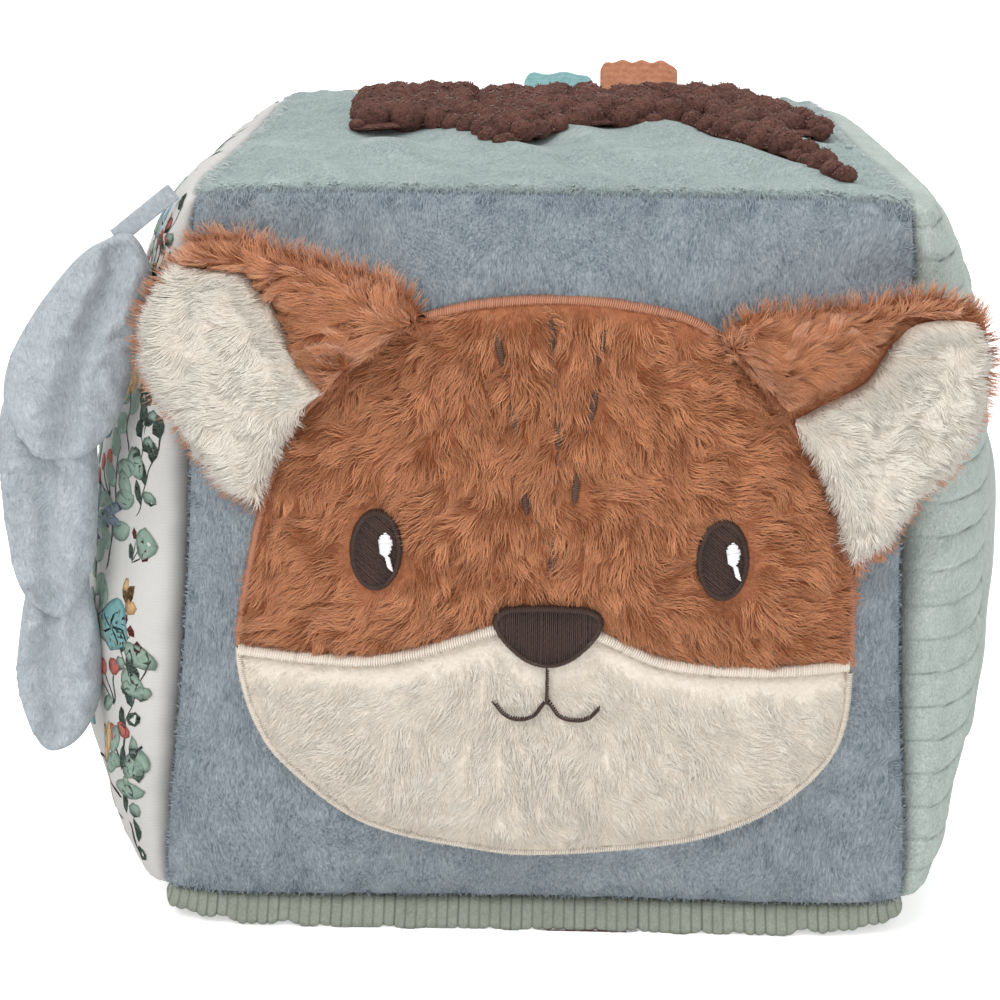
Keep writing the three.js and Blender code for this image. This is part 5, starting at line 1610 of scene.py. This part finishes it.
def bobble_spots(outline, seed):
    """Even rows of full bobbles, then smaller ones wherever a gap is left towards the edge."""
    dice = np.random.default_rng(seed)
    rows = []
    for j, y in enumerate(np.arange(-0.075, 0.075, BOBBLE_PITCH * 0.84)):
        rows += [(x + (j % 2) * BOBBLE_PITCH / 2, y) for x in np.arange(-0.075, 0.075, BOBBLE_PITCH)]
    even = np.array(rows) + dice.uniform(-0.0006, 0.0006, (len(rows), 2))
    loose = dice.uniform(-0.075, 0.075, (9000, 2))
    tries = np.vstack([even, loose])
    gap = np.where(inside(outline, tries), line_distance(outline, tries), 0)
    size = np.clip((gap + 0.0008) / BOBBLE_SIZE, 0, 1)
    order = np.argsort(np.where(np.arange(len(tries)) < len(even), -size, 1 - size), kind="stable")
    kept = []
    for k in order:
        fits = gap[k] > 0.0009
        for other in kept:
            apart = np.hypot(*(tries[k] - tries[other]))
            fits = fits and apart > 0.82 * BOBBLE_SIZE * (size[k] + size[other])
        if fits:
            kept.append(k)
    return tries[kept], size[kept] * dice.uniform(0.92, 1.08, len(kept))


spots, size_of = bobble_spots(branch_line, 61)
dice = np.random.default_rng(62)
centres = on_top(spots, 0.0006 + 0.0009 * size_of + dice.uniform(-0.0002, 0.0004, len(spots)))
branch = make_piece("branch_bobbles", centres, [], chenille)
store(branch, "reach", size_of)
grow(branch, bobbles, {"Bobble Size": BOBBLE_SIZE, "Seed": 7, "Finish": chenille})
settle(branch, "cube", "popcorn_chenille", [])
print("bobbles", len(spots), triangles(branch))
FUZZ_EACH = 60
which = np.repeat(np.arange(len(spots)), (FUZZ_EACH * np.clip(size_of, 0.2, 1) ** 2).astype(int))
lay = unit(dice.normal(size=(len(which), 3)) + [0, -0.3, 0.75])
roots = centres[which] + lay * [1, 1, 0.8] * (BOBBLE_SIZE * 0.96 * size_of[which])[:, None]
margin = sprinkle(branch_line, 9000, 63)
margin = margin[line_distance(branch_line, margin) < 0.0016]
roots = np.vstack([roots, on_top(margin, 0.0006)])
lay = np.vstack([lay, unit(dice.normal(0, 0.4, (len(margin), 3)) + [0, 0, 1])])
chenille_hair = hair_material("chenille_fuzz", "3c2521", "765044", 0.8, 0.4, 0.0, 0.95)
fuzz = grow_pile(
    "branch_fuzz", roots, lay, dice.normal(size=lay.shape), dice.uniform(0.6, 1.2, len(roots)),
    {"Hair Width": 0.00045, "Hair Length": 0.0006, "Arch": 0.1, "Crimp": 0.1, "Steps": 2}, chenille_hair,
    seed=62, lock=0.0010, gather=0.5, lift=0.9,
)  # fmt: skip
settle(fuzz, "cube", "popcorn_chenille", [])

# %% [markdown]
# ## The hanging leaf
# Three lightly stuffed lobes overlap like scales and hang on a ribbon from the top corner. Each has a seam
# down its middle that draws the plush in, and a rolled edge that puckers where it is sewn.

# %% The three lobes
LEAF_AT = np.array((-0.0835, -0.06629, 0.14667))
LEAF_LENGTH = 0.114
lobes = {
    "upper": {
        "outline": [
            (0.035, -0.08), (0, -0.01), (-0.053, -0.026), (-0.09, -0.05), (-0.135, -0.1), (-0.182, -0.165),
            (-0.222, -0.24), (-0.235, -0.31), (-0.218, -0.365), (-0.183, -0.413), (-0.135, -0.424),
            (-0.09, -0.413), (-0.038, -0.36), (-0.008, -0.276), (0.018, -0.17),
        ],
        "seam": [(-0.02, -0.03), (-0.06, -0.15), (-0.11, -0.28), (-0.13, -0.42)],
        "step": 0.0014,
    },
    "middle": {
        "outline": [
            (-0.105, -0.28), (-0.175, -0.272), (-0.23, -0.307), (-0.252, -0.368), (-0.252, -0.49),
            (-0.244, -0.58), (-0.23, -0.66), (-0.2, -0.71), (-0.146, -0.735), (-0.112, -0.69),
            (-0.086, -0.62), (-0.078, -0.54), (-0.075, -0.43), (-0.08, -0.34),
        ],
        "seam": [(-0.16, -0.28), (-0.165, -0.45), (-0.168, -0.6), (-0.165, -0.73)],
        "step": -0.0028,
    },
    "lower": {
        "outline": [
            (-0.158, -0.6), (-0.2, -0.63), (-0.22, -0.7), (-0.232, -0.77), (-0.24, -0.85), (-0.228, -0.93),
            (-0.197, -0.995), (-0.162, -1), (-0.122, -0.97), (-0.09, -0.908), (-0.082, -0.833),
            (-0.088, -0.737), (-0.112, -0.65),
        ],
        "seam": [(-0.158, -0.6), (-0.175, -0.75), (-0.178, -0.88), (-0.175, -1.0)],
        "step": -0.0056,
    },
}  # fmt: skip
leaf_plush = pile_material("leaf_plush", "8d979f", "cdd4d8", (2800.0, 2800.0, 800.0), 40.0, 0.25)


def let_air_in(piece, held, cap, frames=20):
    """A short run of Blender's cloth with air inside. The held points stay, and the rest swells."""
    points = np.empty(len(piece.data.vertices) * 3, np.float32)
    piece.data.vertices.foreach_get("co", points)
    piece.vertex_groups.new(name="held").add([int(k) for k in np.flatnonzero(held)], 1.0, "REPLACE")
    cloth = piece.modifiers.new("air", "CLOTH")
    cloth.settings.quality = 6
    cloth.settings.mass = 0.1
    cloth.settings.use_pressure = True
    cloth.settings.uniform_pressure_force = 4.0
    cloth.settings.vertex_group_mass = "held"
    cloth.settings.shrink_min = -0.08
    cloth.settings.effector_weights.gravity = 0.0
    cloth.point_cache.frame_start, cloth.point_cache.frame_end = 1, frames
    for frame_number in range(1, frames + 1):
        bpy.context.scene.frame_set(frame_number)
    swollen = piece.evaluated_get(bpy.context.evaluated_depsgraph_get()).data
    after = np.empty(len(points), np.float32)
    swollen.vertices.foreach_get("co", after)
    piece.modifiers.remove(cloth)
    piece.vertex_groups.clear()
    bpy.context.scene.frame_set(1)
    move = (after - points).reshape(-1, 3)
    size = np.linalg.norm(move, axis=1)
    move *= np.minimum(1, cap / np.maximum(size, 1e-9))[:, None]
    piece.data.vertices.foreach_set("co", points + move.ravel())
    piece.data.update()
    print(piece.name, "swelled by", round(float(size.mean()), 5), "at most", round(float(size.max()), 5))


for name, facts in lobes.items():
    outline = smooth_closed(np.array(facts["outline"]) * LEAF_LENGTH, 110)
    seam = smooth_open(np.array(facts["seam"]) * LEAF_LENGTH, 30)
    step = facts["step"]

    def lobe_rise(gap, flat, seam=seam, step=step, side=1):
        """Full beside the midrib, with small gathers that run out from it and from the rim."""
        from_seam = line_distance(seam, flat, False)
        open_part = np.clip(gap / 0.004, 0, 1)
        groove = np.exp(-((from_seam / 0.0021) ** 2)) + 0.35 * np.exp(-from_seam / 0.005)
        gathers = np.sin(flat[:, 1] * 2 * math.pi / 0.0042 + 2 * gentle_waves(flat, 0.02, 77))
        gathers *= np.exp(-from_seam / 0.004) * np.clip(from_seam / 0.0015, 0, 1)
        pucker = gentle_waves(flat, 0.006, 71 + side) * np.exp(-gap / 0.004) * np.clip(gap / 0.001, 0, 1)
        swell = 0.0060 * dome(gap, 0.012) - 0.0036 * groove * open_part
        waves = 0.0005 * gentle_waves(flat, 0.015, 75) * open_part
        small = 0.0005 * pucker + 0.0002 * gathers * open_part + waves
        return step + side * (0.0006 * (side > 0) + swell + small)

    lobe = make_pad(
        f"leaf_{name}_plush",
        outline,
        0.0011,
        lambda flat, rise: LEAF_AT + np.stack([flat[:, 0], -rise, flat[:, 1]], 1),
        lobe_rise,
        lambda gap, flat: lobe_rise(gap, flat, side=-1),
        leaf_plush,
    )
    spots = np.array([v.co for v in lobe.data.vertices])[:, [0, 2]] - LEAF_AT[[0, 2]]
    held = (line_distance(outline, spots) < 0.0007) | (line_distance(seam, spots, False) < 0.0009)
    let_air_in(lobe, held, 0.0009)
    settle(lobe, "leaf", "leaf_plush", [f"leaf_{name}"])
    print("lobe", name, triangles(lobe))

# %% [markdown]
# ## Ribbons, tabs and the flap
# Ribbons are woven tape: a thin strip with ribs across it. They are swept along a short path, as closed
# strips.

# %% A strip of tape along a path


def tape_material(name, dark, light, rib_scale, roughness=0.6, sheen=0.2):
    material, tree, shader, place = start_material(name, roughness, sheen, colour(light), specular=0.3)
    ribs = add_node(tree, "ShaderNodeAttribute", attribute_name="run").outputs["Fac"]
    wave = combine(tree, "SINE", combine(tree, "MULTIPLY", ribs, rib_scale))
    slub = noise(tree, place, 900.0, 3.0)
    height = combine(tree, "MULTIPLY_ADD", wave, 0.08, slub)
    tree.links.new(mixed(tree, height, colour(dark), colour(light)), shader.inputs["Base Color"])
    emboss(tree, height, 0.00012, 0.8, shader.inputs["Normal"])
    return material


def make_tape(name, path, across, out, width, thickness, finish, top_edge=None, columns=14):
    """path are middle points, across the direction of the width, out the direction of the thickness."""
    path = np.asarray(path, float)
    rows = len(path)
    share = np.linspace(-1, 1, columns)
    run = np.concatenate([[0], np.cumsum(np.linalg.norm(np.diff(path, axis=0), axis=1))])
    sheets = []
    for side in (1, -1):
        grid = path[None] + (share[:, None, None] * width / 2) * across + side * out * thickness / 2
        if top_edge is not None:
            grid = top_edge(grid, share, run / run[-1])
        sheets.append(grid.reshape(-1, 3))
    faces = list(grid_faces(columns, rows)) + list(grid_faces(columns, rows, columns * rows, flip=True))
    ring = border_of_grid(columns, rows)
    for a, b in zip(ring, ring[1:] + ring[:1]):
        faces.append((b, a, a + columns * rows, b + columns * rows))
    piece = make_piece(name, np.vstack(sheets), faces, finish)
    store(piece, "run", np.tile(np.tile(run, columns), 2))
    return piece


# %% The leaf's ribbon
ribbon_at = np.array((-0.07615, -0.06629, 0.15299))
slope = math.radians(39)
along_ribbon = np.array([-math.cos(slope), 0, -math.sin(slope)])
side_ribbon = np.array([math.sin(slope), 0, -math.cos(slope)])
LOW_NAP = (1400.0, 1400.0, 900.0)
pale_ribbon = pile_material("pale_ribbon", "9aa3ab", "c3cad1", LOW_NAP, 90.0, 0.5, 0.0002, 0.3)
steps = np.linspace(-0.0014, 0.0136, 16)
ribbon_path = ribbon_at + np.outer(steps, along_ribbon)
ribbon_path += np.outer(-0.0004 + 0.0005 * np.sin(steps * 420), Y_AXIS)
ribbon = make_tape("leaf_ribbon_tape", ribbon_path, side_ribbon, -Y_AXIS, 0.0036, 0.0012, pale_ribbon)
settle(ribbon, "ribbon", "pale_ribbon", ["leaf_ribbon"])

# %% The two tabs in the top seam at the back
TAB_LEAN = math.radians(32)
tab_up = np.array([0, math.sin(TAB_LEAN), math.cos(TAB_LEAN)])
tab_out = np.array([0, -math.cos(TAB_LEAN), math.sin(TAB_LEAN)])
teal_tape = tape_material("teal_ribbon", "5d9194", "9cc3c4", 7000.0, 0.45)
rust_tape = tape_material("rust_ribbon", "8f5539", "cf9070", 3600.0, 0.6)
tabs = (
    ("teal_tab", "tab_teal", "teal_ribbon", teal_tape, (0.0017, 0.06892, 0.15551), 0.0168, 0.0060, 2),
    ("rust_tab", "tab_rust", "rust_ribbon", rust_tape, (0.0213, 0.06914, 0.15555), 0.0188, 0.0094, 4),
)
for node, body, slot, finish, at, width, height, scallops in tabs:
    steps = np.linspace(0.0002, height, 18)
    path = np.array(at) + np.outer(steps, tab_up)

    def crest(grid, share, run, scallops=scallops):
        wave = 0.0004 * np.sin(share * math.pi * scallops + 0.6) - 0.0026 * np.abs(share) ** 9
        return grid + (wave[:, None] * run[None] ** 3)[:, :, None] * tab_up

    tab = make_tape(f"{node}_tape", path, X_AXIS, tab_out, width, 0.0022, finish, crest, 30)
    settle(tab, body, slot, [node])
print("tabs", triangles(tab))

# %% The mirror's soft frame, the mirror and its flap


def rounded_rectangle(half_size, corner, count=8, shift=0.0):
    line = []
    for k, (sx, sy) in enumerate(((1, -1), (1, 1), (-1, 1), (-1, -1))):
        middle = WINDOW_AT + np.array([shift, 0]) + np.array([sx, sy]) * (np.array(half_size) - corner)
        for t in np.linspace(-math.pi / 2, 0, count) + k * math.pi / 2:
            line.append(middle + corner * np.array([math.cos(t), math.sin(t)]))
    return np.array(line)


on_right = on_panel(RIGHT)


def make_ring(name, line, width, low, high, place, finish, count=14):
    """A padded ring of cloth along a closed flat line."""
    line = spaced(line, 0.0016)
    ahead = np.roll(line, -1, 0) - np.roll(line, 1, 0)
    ahead /= np.linalg.norm(ahead, axis=1)[:, None]
    normal = np.stack([ahead[:, 1], -ahead[:, 0]], 1)
    turn = np.linspace(0, 2 * math.pi, count, endpoint=False)
    rings = []
    for t in turn:
        flat = line + normal * (math.cos(t) * width / 2)
        rings.append(place(flat, np.full(len(line), (low + high) / 2 + math.sin(t) * (high - low) / 2)))
    points = np.stack(rings, 1).reshape(-1, 3)
    n = len(line)
    faces = []
    for i in range(n):
        for j in range(count):
            a, b = i * count + j, i * count + (j + 1) % count
            c, d = ((i + 1) % n) * count + (j + 1) % count, ((i + 1) % n) * count + j
            faces.append((a, d, c, b))
    return make_piece(name, points, faces, finish)


def facing_out(piece):
    """Turns a closed piece's faces outwards."""
    shape = bmesh.new()
    shape.from_mesh(piece.data)
    bmesh.ops.recalc_face_normals(shape, faces=shape.faces)
    shape.to_mesh(piece.data)
    shape.free()
    return piece


frame_line = rounded_rectangle((0.0285, 0.0255), 0.006)
frame_ring = make_ring("mirror_frame_plush", frame_line, 0.0088, -0.0004, 0.0013, on_right, mint_plush)
facing_out(frame_ring)
settle(frame_ring, "cube", "mint_plush", ["mirror_frame"])
flap_cloth = pile_material("flap_cloth", "99a39e", "b9c2bd", LOW_NAP, 40.0, 0.5, 0.0002, 0.2)
flap_line = rounded_rectangle((0.0440, 0.032), 0.008, shift=-0.009)
flap = make_pad(
    "mirror_flap_cloth", flap_line, 0.0022, on_right,
    lambda g, f: 0.0006 + 0.0018 * dome(g, 0.008) + 0.0002 * dome(g, 0.008) * gentle_waves(f, 0.02, 5),
    lambda g, f: 0.0002 + 0.0012 * dome(g, 0.008), flap_cloth,
)  # fmt: skip
settle(flap, "flap", "mint_corduroy", ["mirror_flap"])


def mirror_film():
    material, tree, shader, place = start_material("mirror_film", 0.06, metallic=1.0)
    clouds = noise(tree, place, 60.0, 2.0)
    tree.links.new(mixed(tree, clouds, colour("d3d8dc"), colour("e8ebee")), shader.inputs["Base Color"])
    emboss(tree, noise(tree, place, 45.0, 1.0), 0.0004, 0.5, shader.inputs["Normal"])
    return material


def dress(node, finish):
    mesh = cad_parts[node].data
    mesh.materials.clear()
    mesh.materials.append(finish)


mirror = make_pad(
    "mirror_film_sheet", rounded_rectangle((0.0265, 0.0235), 0.005), 0.0024, on_right,
    lambda g, f: 0.0007 + 0.0002 * gentle_waves(f, 0.02, 6), level(0.0003), mirror_film(),
)  # fmt: skip
settle(mirror, "cube", "mirror_film", ["mirror"])
print("window", triangles(frame_ring), triangles(flap), triangles(mirror))

# %% [markdown]
# ## What is inside, and the patch below
# The stuffing is one wad of fibre that fills the covers and leaves a round pocket for the rattle. The rattle
# is a plastic capsule with a loose ball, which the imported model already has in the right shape.

# %% Stuffing with its pocket
fibre_fill = pile_material("fibre_fill", "d9d5cd", "fbfaf6", (500.0, 500.0, 500.0), 70.0, 0.8, 0.001, 0.2)
POCKET_RADIUS = 0.0170


def make_stuffing():
    steps = 26
    points, faces = [], []
    for panel in (FRONT, BACK, LEFT, RIGHT, TOP, BOTTOM):
        line = np.sin(np.linspace(-1, 1, steps) * math.pi / 2)
        u, v = (a.ravel() for a in np.meshgrid(line, line, indexing="ij"))
        skin = panel_points(panel, u, v, 0.0, reach=0.0712, share=0.999)
        skin[:, 2] = np.maximum(skin[:, 2], 0.0026)
        faces += list(grid_faces(steps, steps, len(points)))
        points += list(skin)
    start = len(points)
    across, up = 24, 14
    ball = np.array((0, 0, 0.081))
    for j in range(up + 1):
        for i in range(across):
            t, p = i / across * 2 * math.pi, j / up * math.pi
            way = np.array([math.sin(p) * math.cos(t), math.sin(p) * math.sin(t), math.cos(p)])
            points.append(ball + POCKET_RADIUS * way)
    for j in range(up):
        for i in range(across):
            a, b = start + j * across + i, start + j * across + (i + 1) % across
            faces.append((a, b, b + across, a + across))
    piece = make_piece("stuffing_wad", points, faces, fibre_fill)
    shape = bmesh.new()
    shape.from_mesh(piece.data)
    bmesh.ops.remove_doubles(shape, verts=shape.verts, dist=0.00005)
    shape.to_mesh(piece.data)
    shape.free()
    return piece


stuffing = make_stuffing()
settle(stuffing, "cube", "stuffing", ["stuffing_lower", "stuffing_upper"])


def capsule_plastic(name, dark, light):
    material, tree, shader, place = start_material(name, 0.35, specular=0.5)
    tone = noise(tree, place, 90.0, 3.0)
    tree.links.new(mixed(tree, tone, colour(dark), colour(light)), shader.inputs["Base Color"])
    bump = add_node(tree, "ShaderNodeBump", {"Height": noise(tree, place, 1800.0, 2.0), "Distance": 0.00003})
    tree.links.new(bump.outputs[0], shader.inputs["Normal"])
    return material


shell_plastic = capsule_plastic("rattle_shell", "dcd8cf", "ece8e0")
for node in ("rattle_case_lower", "rattle_case_upper", "rattle_ball"):
    dress(node, shell_plastic)

# %% [markdown]
# ## The print on the cotton
# Plain plants: slim sprigs, round leaves, a branch of small leaves, berries, drop leaves and curled stems.
# Each is an outline laid on the left cover as a film of paint, thinner than a hair. Where they fall, and how
# they turn, is drawn by lot with a fixed seed.

# %% Outlines for the plants, each about its own foot and pointing up


def turned(points, angle, at):
    c, s = math.cos(angle), math.sin(angle)
    return np.asarray(points) @ np.array([[c, s], [-s, c]]) + at


def leaf_line(length, width, fullness=0.8):
    t = np.linspace(0, 1, 9)
    half = width / 2 * np.sin(math.pi * t) ** fullness * (1.1 - 0.25 * t)
    return np.vstack([np.stack([half, t * length], 1), np.stack([-half, t * length], 1)[-2:0:-1]])


def stalk_line(bend, length, width):
    t = np.linspace(0, 1, 9)
    x = bend * length * t * t
    left, right = (np.stack([x + side * width / 2, t * length], 1) for side in (-1, 1))
    return np.vstack([left, right[::-1]])


def slim_sprig(dice):
    shapes = [("stem", stalk_line(0.15, 0.016, 0.0004))]
    for k, up in enumerate(np.linspace(0.003, 0.015, 6)):
        side = 1 if k % 2 else -1
        foot = np.array([0.15 * up * up / 0.016, up])
        leaf = leaf_line(0.0085 - 0.0002 * k, 0.0023)
        shapes.append(("slate", turned(leaf, -side * dice.uniform(0.6, 0.9), foot)))
    shapes.append(("slate", turned(leaf_line(0.008, 0.0022), -0.2, [0.0024, 0.0155])))
    return shapes


def round_leaf(dice):
    key = ("teal", "blue")[int(dice.integers(2))]
    shapes = [(key, turned(leaf_line(0.0105, 0.0078, 0.55), 0, [0, 0]))]
    vein = stalk_line(0.1, 0.0034, 0.0004)
    return shapes + [("deep", turned(vein, a, [0, 0.0045])) for a in (0.0, 1.1, 2.3, -1.2, -2.4)]


def small_leaves(dice):
    bend = dice.uniform(-0.3, 0.3)
    shapes = [("stem", stalk_line(bend, 0.024, 0.0004))]
    for k, up in enumerate(np.linspace(0.004, 0.022, 7)):
        side = 1 if k % 2 else -1
        foot = np.array([bend * up * up / 0.024, up])
        shapes.append(("sage", turned(leaf_line(0.0062, 0.0038, 0.6), -side * dice.uniform(0.8, 1.2), foot)))
    return shapes


def berries(dice):
    shapes = []
    for angle in (-0.5, 0.05, 0.6):
        shapes.append(("stem", turned(stalk_line(0.1, 0.006, 0.0004), angle, [0, 0])))
        middle = turned([[0.0006, 0.0072]], angle, [0, 0])[0]
        shapes.append(("berry", ellipse(middle, np.array([0.0016, 0.0017]), 14)))
    return shapes + [("sage", turned(leaf_line(0.006, 0.003), 1.5, [0, 0.001]))]


def drop_leaves(dice):
    return [("tan", turned(leaf_line(0.0066, 0.0038, 0.6), a, [0, 0])) for a in (-0.9, 0.1, 1.0)]


def curled_stem(dice):
    bend = dice.uniform(0.3, 0.5)
    shapes = [("plum", stalk_line(bend, 0.022, 0.0006))]
    for up, side in ((0.008, 1), (0.013, -1), (0.019, 1)):
        foot = np.array([bend * up * up / 0.022, up])
        shapes.append(("plum", turned(stalk_line(0.2, 0.005, 0.0005), -side * 0.7, foot)))
    return shapes


# %% Scatter the plants and lay them on the cover
plants = (slim_sprig, round_leaf, small_leaves, round_leaf, berries, small_leaves, drop_leaves, curled_stem)
dice = np.random.default_rng(92)
painted = {}
for row, up in enumerate(np.arange(-0.068, 0.072, 0.0134)):
    for across in np.arange(-0.068, 0.074, 0.0136):
        at = np.array([across + (row % 2) * 0.007, up]) + dice.uniform(-0.002, 0.002, 2)
        plant = plants[int(dice.integers(len(plants)))]
        angle = dice.uniform(-1.1, 1.1)
        for key, shape in plant(dice):
            spot = turned(1.15 * (shape - [0, 0.008]), angle, at)
            if np.abs(spot).max() < 0.0745:
                painted.setdefault(key, []).append(spot)
for across in (-1, 1):
    for up in np.arange(-0.067, 0.07, 0.0095):
        plant = (berries, drop_leaves, round_leaf, small_leaves)[int(dice.integers(4))]
        angle = dice.uniform(-0.9, 0.9)
        for key, shape in plant(dice):
            spot = turned(0.9 * (shape - [0, 0.006]), angle, [0, 0]) * [0.5, 1.0]
            spot = spot + [across * (HALF - 0.0046), up]
            if np.abs(spot).max() < HALF - 0.0006:
                painted.setdefault(key, []).append(spot)


def on_cotton(flat, rise):
    u, v = flat.T / HALF
    return panel_points(LEFT, u, v, cover_rise(u, v, **LEFT_CLOTH) + rise)


paints = {
    "slate": ("4a5a6b", "9aa7b3"), "teal": ("3f7a80", "8fb6b6"), "blue": ("5f8ba8", "a9c3d2"),
    "deep": ("2e4c5c", "5b7887"), "sage": ("5c7a70", "a3b5a7"), "stem": ("6b7a80", "9aa6a6"),
    "berry": ("8f3d38", "c4776c"), "tan": ("b98850", "dcbb8e"), "plum": ("7d5468", "a88396"),
}  # fmt: skip
LAYERS = {"stem": 0.00008, "deep": 0.00016}
for key, shapes in painted.items():
    film = LAYERS.get(key, 0.00011)
    points, faces = [], []
    for shape in shapes:
        made, sides = pad_shape(shape, 0.0014, on_cotton, level(film), level(film - 0.0003))
        faces += [tuple(len(points) + int(k) for k in side) for side in sides]
        points += list(made)
    colours = weave_material(f"print_{key}", *paints[key], 420.0, 0.5, 0.3, 0.8)
    paint = make_piece(f"print_{key}", points, faces, colours)
    settle(paint, "cube", "white_cotton", [])
print("print", {key: len(shapes) for key, shapes in painted.items()})

# %% The small patch under the front
on_bottom = on_panel(BOTTOM)
patch_line = ellipse(np.array([0.0105, 0.0716]), np.array([0.0105, 0.0019]), 60)
patch = make_pad(
    "under_patch_plush", patch_line, 0.0007, on_bottom, lambda g, f: 0.0006 + 0.0006 * dome(g, 0.001),
    level(0.0003), chenille,
)  # fmt: skip
settle(patch, "cube", "popcorn_chenille", ["under_patch"])
